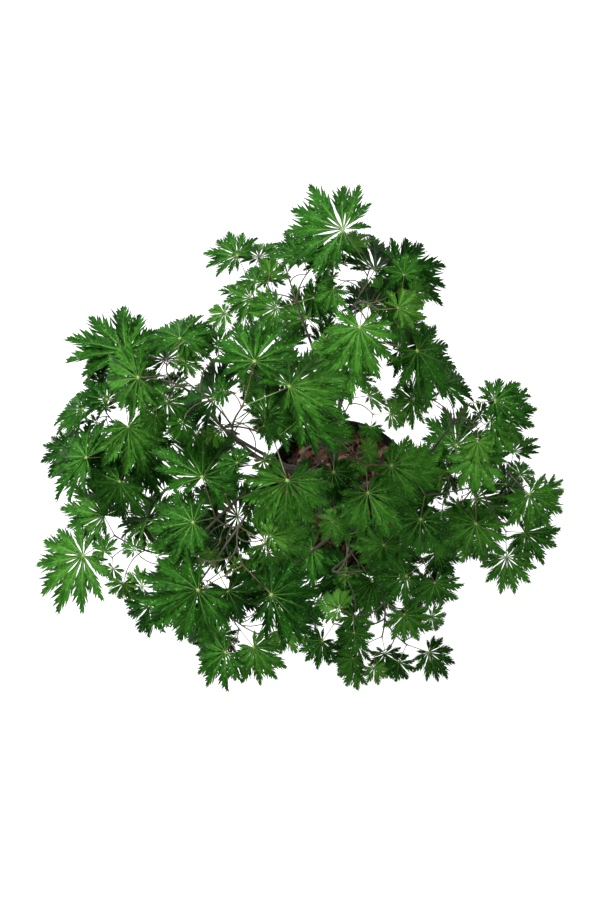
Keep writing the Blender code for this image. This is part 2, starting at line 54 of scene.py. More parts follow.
def level(v):
    length = math.hypot(v[0], v[1])
    return np.array([v[0] / length, v[1] / length, 0.0]) if length > 1e-6 else np.array([1.0, 0.0, 0.0])


def turned(v, degrees):
    a = math.radians(degrees)
    return np.array([v[0] * math.cos(a) - v[1] * math.sin(a), v[0] * math.sin(a) + v[1] * math.cos(a), v[2]])


def arc(a, b, c, count):
    # (1-t)^2 a + 2t(1-t) b + t^2 c, the quadratic curve from a to c that heads for b
    t = np.linspace(0.0, 1.0, count)[:, None]
    return (1 - t) ** 2 * a + 2 * t * (1 - t) * b + t * t * c


def finer(path, count):
    # the same quadratic curve with more points: its middle handle comes back from the second point
    t = 1.0 / (len(path) - 1)
    handle = (path[1] - (1 - t) ** 2 * path[0] - t * t * path[-1]) / (2 * t * (1 - t))
    return arc(path[0], handle, path[-1], count)


def twigPath(node, shoot, ahead, length):
    # a curve that sets out between its own direction and ahead, then turns to its own
    return arc(node, node + unit(shoot + ahead) * length * 0.5, node + shoot * length, 4)


def along(path, share):
    # the point at a share of the path's pieces, and the direction there
    place = share * (len(path) - 1)
    k = min(int(place), len(path) - 2)
    f = place - k
    return path[k] * (1 - f) + path[k + 1] * f, unit(path[k + 1] - path[k])


def reachAlong(path):
    # the length of the path up to each of its points
    return np.r_[0.0, np.cumsum(np.linalg.norm(np.diff(path, axis=0), axis=1))]


def spaced(path, reach, places):
    # the points at the given lengths along the path
    return np.stack([np.interp(places, reach, path[:, k]) for k in range(3)], axis=1)


def samples(path, radii):
    # evenly spaced points of a limb and its radius at each
    reach = reachAlong(path)
    places = np.linspace(0.0, reach[-1], max(2, int(reach[-1] / growth["sampleStep"]) + 1))
    return spaced(path, reach, places), np.interp(places, reach, radii)


trunkShape = {
    "foot": 0.1903, "fork": (-0.010, 0.004, 0.294), "bend": (0.004, -0.001, 0.2453), "rings": 11,
    "flareRadius": 0.0165, "lowerRadius": 0.0098, "graftRadius": 0.0108, "topRadius": 0.0062,
    "flareSpan": 0.13, "graftAt": 0.42, "graftSpan": 0.10,
}
boughRule = {"rings": 7, "toTip": 0.65, "onward": 0.35, "upward": 0.12}

# parent, share of the parent's length where it leaves, tip in cm, radii at both ends in mm, lift
boughTable = {
    "leader": ("trunk", 1.0, (-9.5, -1.5, 60.0), 5.4, 2.4, 0.55),
    "front": ("trunk", 0.58, (5.0, -15.6, 41.5), 3.9, 1.8, 0.55),
    "left": ("trunk", 0.68, (-21.8, 4.4, 53.0), 4.2, 2.0, 0.40),
    "right": ("trunk", 0.79, (16.5, -1.7, 50.0), 4.1, 2.0, 0.50),
    "back": ("trunk", 0.90, (0.3, 18.6, 60.0), 4.2, 2.0, 0.35),
    "top": ("leader", 0.80, (-13.7, 0.2, 70.0), 2.6, 1.9, 0.60),
    "top_front": ("leader", 0.88, (-11.8, -6.7, 66.0), 2.4, 1.8, 0.50),
    "middle": ("leader", 0.55, (-5.7, 1.1, 57.0), 2.5, 1.8, 0.70),
    "back_near": ("back", 0.62, (2.3, 15.6, 51.5), 2.3, 1.8, 0.45),
    "back_mid": ("back", 0.50, (-5.2, 17.6, 54.5), 2.4, 1.8, 0.40),
    "back_left": ("back", 0.34, (-10.2, 18.6, 51.5), 2.6, 1.8, 0.40),
    "left_back": ("left", 0.66, (-21.0, 9.0, 57.0), 2.4, 1.8, 0.50),
    "left_front": ("left", 0.48, (-20.4, -10.4, 51.5), 2.5, 1.8, 0.45),
    "right_back": ("right", 0.58, (12.6, 3.2, 53.5), 2.4, 1.8, 0.50),
    "right_front": ("right", 0.46, (10.2, -8.1, 45.5), 2.4, 1.8, 0.45),
    "front_mid": ("front", 0.60, (-1.4, -13.0, 41.5), 2.3, 1.8, 0.60),
    "front_left": ("front", 0.34, (-14.9, -17.2, 50.0), 2.7, 1.8, 0.50),
    "low_front": ("right", 0.16, (2.0, -5.5, 35.5), 2.4, 1.8, 0.50),
    "low_left": ("leader", 0.24, (-8.0, -5.5, 41.0), 2.4, 1.8, 0.50),
    "low_back": ("back", 0.20, (-4.0, 8.0, 42.0), 2.4, 1.8, 0.50),
    "low_right": ("right", 0.26, (6.0, -1.0, 37.5), 2.4, 1.8, 0.40),
}


def limbPaths():
    # trunk: a quadratic curve, its radius a straight taper + a flare at the foot + a swelling at the graft;
    # bough: a quadratic curve from its parent to its tip, its radius a straight taper
    s, b = trunkShape, boughRule
    foot = upright(s["foot"])
    t = np.linspace(0.0, 1.0, s["rings"])
    path = arc(foot, np.array(s["bend"]), np.array(s["fork"]), s["rings"])
    path[1, :2] = foot[:2]
    radii = (s["lowerRadius"] + (s["topRadius"] - s["lowerRadius"]) * t
             + (s["flareRadius"] - s["lowerRadius"]) * np.exp(-(t / s["flareSpan"]) ** 1.6)
             + (s["graftRadius"] - s["lowerRadius"]) * np.exp(-((t - s["graftAt"]) / s["graftSpan"]) ** 2))
    limbs = {"trunk": (path, radii)}
    for name, (parent, share, tip, r0, r1, lift) in boughTable.items():
        start, onward = along(limbs[parent][0], share)
        tip = np.array(tip) / 100
        reach = np.linalg.norm(tip - start)
        heading = unit(unit(tip - start) * b["toTip"] + onward * b["onward"] + upright(b["upward"]))
        if share == 1.0:
            heading = unit(heading + onward)
        path = arc(start, start + heading * reach * lift, tip, b["rings"])
        limbs[name] = (path, np.linspace(r0, r1, b["rings"]) / 1000)
    return limbs


growth = {
    "stemRadius": 0.0015, "petioleRadius": 0.0009, "fall": 0.17, "gap": 0.0003, "sampleStep": 0.004,
    "twigRoom": 0.0016, "bladeRoom": 0.0022, "leafTries": 5, "shootTries": 3,
    "nearLeaf": 0.06, "nearDot": 0.08,    # past these a twig isn't tested against a leaf's edge or a dot
    "lobeAngles": (0, 31, 62, 95, 132), "lobeLengths": (1.0, 0.95, 0.82, 0.64, 0.42),
    # between a leaf and its twig, in degrees: at a stem's node, at its tip and at a shoot's tip
    "nodeSpread": 70, "tipSpread": 38, "shootSpread": 46,
    # what each draw lies between, angles in degrees
    "turn": (-30, 30), "rise": (0, 38), "size": (0.80, 1.18), "petiole": (0.38, 0.72),
    "pitch": (8, 42), "facing": (-28, 28), "roll": (-20, 20),
    "shootTurn": (38, 82), "shootRise": (-0.35, 0.40), "shootLength": (0.7, 1.35),
}
sprigGrowth = {
    "tries": 40, "leafTries": 4, "room": 0.0010, "inside": 0.7, "spreads": ((1, 50), (-1, 50), (1, 0)),
    "place": (0.25, 0.95), "turn": (25, 88), "rise": (-0.45, 0.50),
    "length": (0.016, 0.060), "leaf": (0.024, 0.046),
}

# a mass at each bough's tip: end of its stem in cm, nodes, leaf radius at the first and last node in mm,
# side shoot in mm, nodes that bear side shoots, seed
massTable = {
    "top": ((-13.0, 2.5, 79.5), 2, 88, 93, 75, 1, 178),
    "top_front": ((-21.0, -20.5, 68.0), 3, 92, 43, 43, 1, 633),
    "middle": ((2.0, -2.0, 65.0), 3, 43, 59, 75, 1, 461),
    "back": ((3.5, 17.0, 69.5), 3, 98, 42, 42, 1, 231),
    "back_near": ((2.5, 17.5, 52.5), 2, 64, 67, 47, 1, 295),
    "back_mid": ((-8.5, 27.0, 58.0), 2, 55, 34, 36, 1, 344),
    "back_left": ((-13.5, 27.0, 49.0), 2, 40, 53, 30, 1, 642),
    "left": ((-36.0, 4.5, 50.5), 3, 92, 51, 41, 2, 107),
    "left_back": ((-27.5, 11.0, 57.0), 2, 68, 74, 54, 1, 343),
    "left_front": ((-32.0, -9.0, 47.0), 3, 52, 80, 68, 1, 395),
    "right": ((17.0, -4.0, 56.5), 3, 68, 71, 66, 2, 106),
    "right_back": ((16.0, 7.0, 60.0), 2, 70, 57, 49, 1, 124),
    "right_front": ((9.5, -9.0, 46.0), 2, 62, 49, 37, 1, 885),
    "front": ((5.5, -22.5, 37.0), 3, 52, 47, 56, 2, 558),
    "front_mid": ((2.5, -13.5, 42.5), 2, 54, 53, 67, 1, 762),
    "front_left": ((-17.0, -20.0, 46.5), 3, 67, 50, 52, 2, 161),
    "low_front": ((-2.0, -8.0, 36.5), 2, 85, 76, 46, 1, 527),
    "low_left": ((-14.5, -12.5, 39.5), 3, 99, 61, 33, 1, 368),
    "low_back": ((-9.0, 14.5, 42.0), 2, 71, 50, 70, 1, 638),
    "low_right": ((13.5, -6.5, 42.0), 2, 94, 42, 65, 1, 307),
}


def probePoints():
    # a few points down each lobe of a blade of radius 1
    rows = [(0.0, 0.0)]
    for angle, length in zip(growth["lobeAngles"], growth["lobeLengths"]):
        for side in ((1, -1) if angle else (1,)):
            for share, lean in ((0.35, 0), (0.7, -9), (0.7, 9), (0.97, 0)):
                rows.append((length * share, math.radians(side * (angle + lean))))
    rho, theta = np.array(rows).T
    return np.stack([rho * np.cos(theta), rho * np.sin(theta), -growth["fall"] * rho ** 2], axis=1)


probe = probePoints()
reachAngles = np.radians(growth["lobeAngles"] + (180,))
reachLengths = np.array(growth["lobeLengths"] + (0.15,))


class Leaf:
    # a blade: centre, axes (forward, side, normal) and radius
    def __init__(self, centre, forward, up, radius):
        self.centre = centre
        self.forward = unit(forward)
        normal = unit(up - self.forward * np.dot(up, self.forward))
        self.radius = radius
        self.axes = np.array([self.forward, np.cross(normal, self.forward), normal])
        self.probes = centre + radius * probe @ self.axes

    def height(self, points):
        # how high points lie over the drooping blade, and which of them lie over it at all
        q = (points - self.centre) @ self.axes.T / self.radius
        rho = np.hypot(q[:, 0], q[:, 1])
        over = rho < np.interp(np.abs(np.arctan2(q[:, 1], q[:, 0])), reachAngles, reachLengths)
        return (q[:, 2] + growth["fall"] * rho * rho) * self.radius, over

    def meets(self, other, room):
        for one, two in ((self, other), (other, self)):
            height, over = two.height(one.probes)
            if over.any() and height[over].min() < room and height[over].max() > -room:
                return True
        return False

    def isCrossed(self, dots, radii, room):
        height, over = self.height(dots)
        return bool((over & (np.abs(height) < radii + room)).any())


class Crown:
    # everything grown so far, and the tests that a new twig or leaf has to pass
    def __init__(self, limbs):
        self.limbs = limbs
        self.leaves = []
        found = [samples(*limb) for limb in limbs.values()]
        self.dots = np.concatenate([f[0] for f in found])
        self.radii = np.concatenate([f[1] for f in found])
        self.twigRoom = growth["twigRoom"]
        self.bladeRoom = growth["bladeRoom"]
        self.leafTries = growth["leafTries"]

    def addTwig(self, path, radii):
        dots, r = samples(path, radii)
        self.dots = np.r_[self.dots, dots]
        self.radii = np.r_[self.radii, r]

    def twigIsFree(self, path, radii):
        # tested without its first dot, which lies on its parent
        dots, r = samples(path, radii)
        dots, r = dots[1:], r[1:]
        middle = dots.mean(axis=0)
        for leaf in self.leaves:
            if (np.linalg.norm(leaf.centre - middle) < leaf.radius + growth["nearLeaf"]
                    and leaf.isCrossed(dots, r, self.bladeRoom)):
                return False
        near = (np.abs(self.dots - middle) < growth["nearDot"]).all(axis=1)
        between = np.linalg.norm(self.dots[near][:, None] - dots[None], axis=2)
        return not (between - self.radii[near][:, None] - r[None] < self.twigRoom).any()

    def tryLeaf(self, rng, node, ahead, side, spread, size, fresh):
        # one leaf on its petiole from a node, turned by the draw, or None where it would touch anything
        g = growth
        azimuth = turned(level(ahead), side * (spread + rng.uniform(*g["turn"])))
        rise = math.radians(rng.uniform(*g["rise"]))
        radius = size * rng.uniform(*g["size"])
        length = radius * rng.uniform(*g["petiole"])
        stalk = azimuth * math.cos(rise) + upright(math.sin(rise))
        pitch = math.radians(rng.uniform(*g["pitch"]))
        facing = turned(azimuth, rng.uniform(*g["facing"]))
        forward = facing * math.cos(pitch) - upright(math.sin(pitch))
        roll = math.radians(rng.uniform(*g["roll"]))
        up = upright(math.cos(roll)) + turned(facing, 90) * math.sin(roll)
        path = twigPath(node, stalk, azimuth * 0.4, length)
        radii = g["petioleRadius"] * np.linspace(1.15, 0.9, 4)
        centre = path[-1]
        leaf = Leaf(centre, forward, up, radius)
        for other in self.leaves:
            if (np.linalg.norm(other.centre - centre) < other.radius + radius
                    and leaf.meets(other, self.bladeRoom)):
                return None
        near = (np.abs(self.dots - centre) < radius).all(axis=1)
        if near.any() and leaf.isCrossed(self.dots[near], self.radii[near], self.bladeRoom):
            return None
        if any(leaf.isCrossed(*samples(*twig), self.bladeRoom) for twig in fresh):
            return None
        return (leaf, path, radii) if self.twigIsFree(path, radii) else None

    def shade(self, leaf):
        # how far a leaf would lie over or under its neighbours, seen in plan
        if not self.leaves:
            return 0.0
        centres = np.array([other.centre[:2] for other in self.leaves])
        reach = np.array([other.radius for other in self.leaves]) + leaf.radius
        apart = np.linalg.norm(centres - leaf.centre[:2] - leaf.forward[:2] * leaf.radius * 0.35, axis=1)
        return np.maximum(0.0, 1.0 - apart / reach / 0.8).sum()

    def bearLeaf(self, rng, grown, fresh, node, ahead, side, spread, size):
        # the least shaded of a few draws
        best = None
        for _ in range(self.leafTries):
            found = self.tryLeaf(rng, node, ahead, side, spread, size, fresh)
            if found and (best is None or self.shade(found[0]) < best[0]):
                best = (self.shade(found[0]), found)
        if best:
            leaf, path, radii = best[1]
            self.leaves.append(leaf)
            grown["leaves"].append((leaf, path))
            self.addTwig(path[1:], radii[1:])

    def bearShoot(self, rng, grown, node, ahead, side, sideLength, size):
        # the first free one of a few draws, with a pair of leaves at its tip
        twigs = grown["twigs"]
        for _ in range(growth["shootTries"]):
            azimuth = turned(level(ahead), side * rng.uniform(*growth["shootTurn"]))
            shoot = unit(azimuth + upright(rng.uniform(*growth["shootRise"])))
            path = twigPath(node, shoot, ahead, sideLength * rng.uniform(*growth["shootLength"]))
            radii = growth["stemRadius"] * np.linspace(0.85, 0.6, 4)
            if self.twigIsFree(path, radii):
                twigs.append((path, radii))
                for turn in (1, -1):
                    self.bearLeaf(rng, grown, twigs, path[-1], shoot, turn, growth["shootSpread"], size)
                return

    def growMass(self, bough, tip, nodes, firstSize, lastSize, sideLength, shooting, seed):
        # a stem on from its bough's tip, side shoots at its first nodes, a pair of leaves at every node
        rng = random.Random(seed)
        boughPath = self.limbs[bough][0]
        onward = unit(boughPath[-1] - boughPath[-2])
        start = boughPath[-1] + onward * growth["gap"]
        tip = np.array(tip) / 100
        stem = arc(start, start + onward * np.linalg.norm(tip - start) * 0.45, tip, 7)
        twigs = [(stem, growth["stemRadius"] * np.linspace(1.1, 0.75, 7))]
        grown = {"twigs": twigs, "leaves": [], "nodes": nodes, "sprigs": []}
        for k in range(nodes):
            node, ahead = along(stem, (k + 1) / nodes)
            size = (firstSize + (lastSize - firstSize) * k / max(1, nodes - 1)) / 1000
            last = k == nodes - 1
            spread = growth["tipSpread"] if last else growth["nodeSpread"]
            if k < shooting and not last:
                for side in (1, -1):
                    self.bearShoot(rng, grown, node, ahead, side, sideLength / 1000, size * 0.9)
            for side in (1, -1):
                self.bearLeaf(rng, grown, twigs, node, ahead, side, spread, size)
        for twig in twigs:
            self.addTwig(*twig)
        return grown

    def growSprigs(self, grown, seed):
        # finer twigs from the mass's own stem and shoots, with a few young leaves, inside the same reach
        s = sprigGrowth
        rng = random.Random(seed)
        reach = np.concatenate([leaf.probes for leaf, _ in grown["leaves"]])
        low, high = reach.min(axis=0), reach.max(axis=0)
        for k in range(s["tries"]):
            node, ahead = along(grown["twigs"][k % len(grown["twigs"])][0], rng.uniform(*s["place"]))
            side = rng.choice((1, -1))
            azimuth = turned(level(ahead), side * rng.uniform(*s["turn"]))
            shoot = unit(azimuth + upright(rng.uniform(*s["rise"])))
            sprig = twigPath(node, shoot, ahead, rng.uniform(*s["length"]))
            size = rng.uniform(*s["leaf"])
            end, room = sprig[-1], size * s["inside"]
            radii = growth["stemRadius"] * np.linspace(0.6, 0.45, 4)
            if (end <= low + room).any() or (end >= high - room).any() or not self.twigIsFree(sprig, radii):
                continue
            before = len(grown["leaves"])
            for turn, spread in s["spreads"]:
                self.bearLeaf(rng, grown, [(sprig, radii)], end, shoot, turn, spread, size)
            if len(grown["leaves"]) > before:
                grown["sprigs"].append((sprig, radii))
                self.addTwig(sprig, radii)


limbs = limbPaths()
crown = Crown(limbs)
masses = {name: crown.growMass(name, *row) for name, row in massTable.items()}
mainLeaves = len(crown.leaves)
crown.bladeRoom = crown.twigRoom = sprigGrowth["room"]
crown.leafTries = sprigGrowth["leafTries"]
for name, row in massTable.items():
    crown.growSprigs(masses[name], row[-1] + 1)
print("grown", mainLeaves, "leaves and", len(crown.leaves) - mainLeaves, "more on sprigs")


def closeUp(mesh, apart=0.0000004):
    # joins the points that fall together, caps the open ends and poles, and turns every face outwards
    work = bmesh.new()
    work.from_mesh(mesh)
    bmesh.ops.remove_doubles(work, verts=work.verts, dist=apart)
    bmesh.ops.holes_fill(work, edges=[edge for edge in work.edges if edge.is_boundary], sides=0)
    bmesh.ops.recalc_face_normals(work, faces=work.faces)
    work.to_mesh(mesh)
    work.free()


def putIn(name, data):
    thing = bpy.data.objects.new(name, data)
    bpy.context.scene.collection.objects.link(thing)
    return thing


def makePiece(name, part, material, points, faces, uv=None, smooth=True, values=None, solid=False):
    # points (n, 3) and faces (m, 4) go straight into the mesh, with one uv pair for each point. The piece
    # stands for every node whose name begins with its part.
    points = np.asarray(points, np.float32).reshape(-1, 3)
    faces = np.asarray(faces, np.int32)
    mesh = bpy.data.meshes.new(name)
    mesh.vertices.add(len(points))
    mesh.vertices.foreach_set("co", points.ravel())
    mesh.loops.add(faces.size)
    mesh.loops.foreach_set("vertex_index", faces.ravel())
    mesh.polygons.add(len(faces))
    mesh.polygons.foreach_set("loop_start", np.arange(0, faces.size, faces.shape[1], dtype=np.int32))
    mesh.polygons.foreach_set("use_smooth", np.full(len(faces), smooth))
    if uv is not None:
        mesh.uv_layers.new(name="surface").data.foreach_set(
            "uv", np.asarray(uv, np.float32).reshape(-1, 2)[faces.ravel()].ravel())
    for label, given in (values or {}).items():
        layer = mesh.attributes.new(label, "FLOAT", "POINT")
        layer.data.foreach_set("value", np.asarray(given, np.float32).ravel())
    mesh.update(calc_edges=True)
    mesh.validate()
    if solid:
        closeUp(mesh)
    mesh.materials.append(material)
    piece = putIn(name, mesh)
    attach(piece, "root")
    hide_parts(*[node for node in nodeNames if node.startswith(part)])


def gridFaces(rows, steps, closed=False):
    # quads of a grid whose points run step by step within each row; closed joins the last step to the first
    r, c = np.meshgrid(np.arange(rows - 1), np.arange(steps if closed else steps - 1), indexing="ij")
    n = (c + 1) % steps
    return np.stack([r * steps + c, r * steps + n, (r + 1) * steps + n, (r + 1) * steps + c],
                    axis=-1).reshape(-1, 4)


def repeated(faces, copies, count):
    # the same faces for many copies of one grid of count points
    return (np.arange(copies)[:, None, None] * count + faces[None]).reshape(-1, faces.shape[1])


def gathered(parts):
    # several (points, faces, ...) as one: each part's faces count on from the points before it
    points, faces, *others = zip(*parts)
    starts = np.cumsum([0] + [len(own) for own in points])
    faces = np.concatenate([own + start for own, start in zip(faces, starts)])
    return [np.concatenate(points), faces] + [np.concatenate(other) for other in others]


def ringAngles(sides, start=0.0):
    return start + np.arange(sides) * fullTurn / sides


def carried(paths, radii, aside, cap, lengthwise):
    # a profile carried along each path: point = path + radius (cos a across + sin a other), with across
    # square to the path and to aside. paths (n, m, 3), radii (n, m, sides). A ring at each end is drawn in to
    # the share cap. The map's first value goes round, its second is lengthwise.
    heading = np.gradient(paths, axis=1)
    heading /= np.linalg.norm(heading, axis=2, keepdims=True)
    across = np.cross(heading, aside)
    across /= np.linalg.norm(across, axis=2, keepdims=True)
    other = np.cross(heading, across)
    a = ringAngles(radii.shape[2])
    points = paths[:, :, None] + radii[..., None] * (
        np.cos(a)[:, None] * across[:, :, None] + np.sin(a)[:, None] * other[:, :, None])
    first, last = paths[:, :1, None], paths[:, -1:, None]
    points = np.concatenate([first + (points[:, :1] - first) * cap, points,
                             last + (points[:, -1:] - last) * cap], axis=1)
    n, m, sides = points.shape[:3]
    uv = np.stack(np.broadcast_arrays(a / fullTurn, lengthwise[..., None]), axis=-1)
    uv = np.broadcast_to(uv, (n, m, sides, 2)).reshape(-1, 2)
    return points.reshape(-1, 3), repeated(gridFaces(m, sides, True), n, m * sides), uv


def tubes(paths, radii, sides):
    # round tubes set off from the axis that each path runs along least; radii (n, m)
    paths = np.asarray(paths)
    leastAxis = np.argmin(np.abs(paths[:, -1] - paths[:, 0]), axis=1)
    radii = np.repeat(np.asarray(radii)[..., None], sides, axis=2)
    return carried(paths, radii, np.eye(3)[leastAxis][:, None], 0.02, np.linspace(0, 1, paths.shape[1] + 2))


def ripple(x, y, z, seed, octaves=4, rough=0.55):
    # smooth noise: sums of sines along random headings, each octave twice as fine, about -1 to 1
    rng = np.random.default_rng(seed)
    total = np.zeros(np.broadcast(x, y, z).shape)
    size = 0.0
    for octave in range(octaves):
        for _ in range(4):
            w = rng.normal(size=3)
            w *= 2 ** octave / np.linalg.norm(w)
            total += rough ** octave * np.sin(w[0] * x + w[1] * y + w[2] * z + rng.uniform(0, 6.283))
        size += rough ** octave * 2.0
    return total / size


def feed(node, inputs):
    # each input takes a number, a vector, a colour or another node's output
    for label, value in inputs.items():
        socket = node.inputs[label]
        if isinstance(value, bpy.types.NodeSocket):
            node.id_data.links.new(value, socket)
        else:
            socket.default_value = (*value, 1.0) if socket.type == "RGBA" else value


def addNode(tree, kind, inputs=None, **settings):
    node = tree.nodes.new("ShaderNode" + kind)
    for label, value in settings.items():
        setattr(node, label, value)
    feed(node, inputs or {})
    return node


def noise(tree, vector, scale, detail):
    return addNode(tree, "TexNoise", {"Vector": vector, "Scale": scale, "Detail": detail}).outputs["Fac"]


def reckon(tree, operation, *values, clamp=False):
    return addNode(tree, "Math", dict(enumerate(values)), operation=operation, use_clamp=clamp).outputs[0]


def ranged(tree, value, start, end, low=0.0, high=1.0):
    # low where the value is at start or before it, high where it is at end or beyond
    limits = {"Value": value, "From Min": start, "From Max": end, "To Min": low, "To Max": high}
    return addNode(tree, "MapRange", limits).outputs["Result"]


def mixed(tree, share, a, b):
    return addNode(tree, "Mix", {"Factor": share, "A": a, "B": b}, data_type="FLOAT").outputs["Result"]


# the four groups below are effects that several finishes use
def newGroup(name, result, **values):
    group = bpy.data.node_groups.new(name, "ShaderNodeTree")
    group.interface.new_socket("Vector", in_out="INPUT", socket_type="NodeSocketVector")
    for label, value in values.items():
        group.interface.new_socket(label, in_out="INPUT", socket_type="NodeSocketFloat").default_value = value
    group.interface.new_socket(result, in_out="OUTPUT", socket_type="NodeSocketFloat")
    return group, group.nodes.new("NodeGroupInput").outputs, group.nodes.new("NodeGroupOutput")


def mottleGroup():
    # two noises, coarse and fine, spread between 0 and 1: uneven colour in leaf, bark, compost and plastic
    group, given, out = newGroup("mottle", "Mask", Scale=40.0, Fine=6.0, Contrast=1.0)
    coarse = noise(group, given["Vector"], given["Scale"], 3.0)
    fineScale = reckon(group, "MULTIPLY", given["Scale"], given["Fine"])
    both = reckon(group, "MULTIPLY_ADD", noise(group, given["Vector"], fineScale, 2.0), 0.4, coarse)
    centred = reckon(group, "SUBTRACT", both, 0.7)
    feed(out, {"Mask": reckon(group, "MULTIPLY_ADD", centred, given["Contrast"], 0.5, clamp=True)})
    return group


def reliefGroup():
    # fine height for Bump nodes: a noise with cells let into it
    group, given, out = newGroup("fineRelief", "Height", Scale=300.0, Cells=0.4)
    cells = addNode(group, "TexVoronoi", {"Vector": given["Vector"], "Scale": given["Scale"]})
    grain = noise(group, given["Vector"], given["Scale"], 4.0)
    feed(out, {"Height": mixed(group, given["Cells"], grain, cells.outputs["Distance"])})
    return group


def paintedGlintGroup():
    # painted glints: small bright spots of colour at the peaks of a noise, standing in for highlights of light
    # on the leaves
    group, given, out = newGroup("paintedGlints", "Mask", Scale=300.0)
    feed(out, {"Mask": ranged(group, noise(group, given["Vector"], given["Scale"], 1.0), 0.66, 0.74)})
    return group


def dustGroup():
    # settled dust: where a surface faces up, broken by a noise
    group, given, out = newGroup("settledDust", "Mask", Amount=0.5, Scale=60.0)
    facing = addNode(group, "SeparateXYZ", {0: addNode(group, "NewGeometry").outputs["Normal"]})
    up = ranged(group, facing.outputs["Z"], -0.1, 0.9, 0.12)
    patchy = ranged(group, noise(group, given["Vector"], given["Scale"], 5.0), 0.35, 0.75)
    both = reckon(group, "MULTIPLY", up, patchy)
    feed(out, {"Mask": reckon(group, "MULTIPLY", both, given["Amount"], clamp=True)})
    return group


groups = {"mottle": mottleGroup(), "relief": reliefGroup(), "paintedGlints": paintedGlintGroup(), "dust": dustGroup()}


class Finish:
    # a material being put together
    def __init__(self, name, specular):
        self.material = bpy.data.materials.new(name)
        self.material.use_nodes = True
        self.tree = self.material.node_tree
        self.shader = self.tree.nodes["Principled BSDF"]
        feed(self.shader, {"Specular IOR Level": specular})
        self.where = addNode(self.tree, "TexCoord").outputs

    def squeezed(self, source, scale):
        return addNode(self.tree, "Mapping", {"Vector": self.where[source], "Scale": scale}).outputs[0]

    def effect(self, name, vector=None, **values):
        values["Vector"] = vector or self.where["Object"]
        return addNode(self.tree, "Group", values, node_tree=groups[name]).outputs[0]

    def blend(self, mask, a, b):
        # a colour between a and b; each is a colour or another node's output
        return addNode(self.tree, "Mix", {0: mask, 6: a, 7: b}, data_type="RGBA").outputs[2]

    def done(self, colour, mask, roughness, height, depth, strength):
        # roughness runs between its two values by the mask; height makes the bump
        bump = addNode(self.tree, "Bump", {"Height": height, "Distance": depth, "Strength": strength})
        feed(self.shader, {"Base Color": colour, "Roughness": ranged(self.tree, mask, 0.0, 1.0, *roughness),
                           "Normal": bump.outputs["Normal"]})
        return self.material


def plainFinish(name, pair, roughness, scale=60.0, specular=0.4, depth=0.0002):
    # a pair of colours, mottled, with a fine relief
    made = Finish(name, specular)
    mask = made.effect("mottle", Scale=scale, Fine=6.0, Contrast=1.8)
    relief = made.effect("relief", Scale=scale * 9, Cells=0.3)
    return made.done(made.blend(mask, *pair), mask, roughness, relief, depth, 0.6)


# lobes, periods of teeth along a lobe, steps from midrib to margin, the leaf radius that a group starts
# over and the angle of its outermost lobes
bladeGroups = {
    "large": {"lobes": 11, "periods": 4, "steps": 3, "over": 0.044, "widest": 136.0},
    "middle": {"lobes": 9, "periods": 3, "steps": 3, "over": 0.026, "widest": 132.0},
    "small": {"lobes": 7, "periods": 2, "steps": 2, "over": 0.0, "widest": 127.0},
}
bladeShape = {
    "fold": 0.46, "pleat": 0.0125, "neck": (0.60, 1.60), "veins": (46, 38, 25),
    "runAt": (0.0, 0.06, 0.14, 0.20, 0.26, 0.34, 0.45, 0.60, 0.75, 0.90),
    "run": (0.024, 0.044, 0.058, 0.118, 0.225, 0.310, 0.320, 0.240, 0.155, 0.080),
    # deep notch, side tooth, shallow notch and tooth, as shares of the run
    "teeth": (-0.46, 0.04, -0.16, 0.30),
    "lift": 0.045, "tipFall": 0.05, "fallSpread": 0.04, "pieceTriangles": 190000,
}
ribShape = {"width": 0.0060, "taper": 0.90, "length": 0.50, "crest": 0.55, "clear": 0.00018, "edge": 0.00010}

# tint: dealt up to, base colour, lighter colour, underside, line along the midrib
leafTints = {
    "deep": (0.36, (0.0012, 0.017, 0.0005), (0.015, 0.1, 0.006), (0.038, 0.1, 0.026), (0.055, 0.19, 0.025)),
    "mid": (0.8, (0.003, 0.033, 0.001), (0.034, 0.165, 0.0125), (0.052, 0.135, 0.034), (0.09, 0.27, 0.036)),
    "light": (1.16, (0.0085, 0.066, 0.0026), (0.062, 0.235, 0.021), (0.068, 0.165, 0.042), (0.13, 0.34, 0.05)),
    "young": (9.0, (0.028, 0.125, 0.0076), (0.105, 0.3, 0.033), (0.09, 0.2, 0.052), (0.18, 0.4, 0.07)),
}
# a leaf is dealt a paler tint the higher it sits, and where it is small
leafDealing = {"seed": 77, "low": 0.35, "span": 0.45, "forHeight": 0.22, "small": 0.045, "forSmall": 0.30}
# colour of the painted glints: pale spots standing in for highlights of light on the leaves
leafPaintedGlint = (0.170, 0.330, 0.120)


def bladeRows(periods):
    # where each row leaves the midrib, as a share of the lobe, and what it ends in: 0 plain margin,
    # 1 deep notch, 2 side tooth, 3 shallow notch, 4 tooth
    start = np.r_[np.array([0.005, 0.05, 0.10, 0.15, 0.20]), np.linspace(0.245, 0.905, 4 * periods)]
    return start, np.r_[np.zeros(5, int), np.tile([2, 3, 4, 1], periods)]


def byLeaf(values):
    return values[:, None, None, None]


def byLobe(values):
    return values[..., None, None]


def byRow(values):
    return values[:, None]


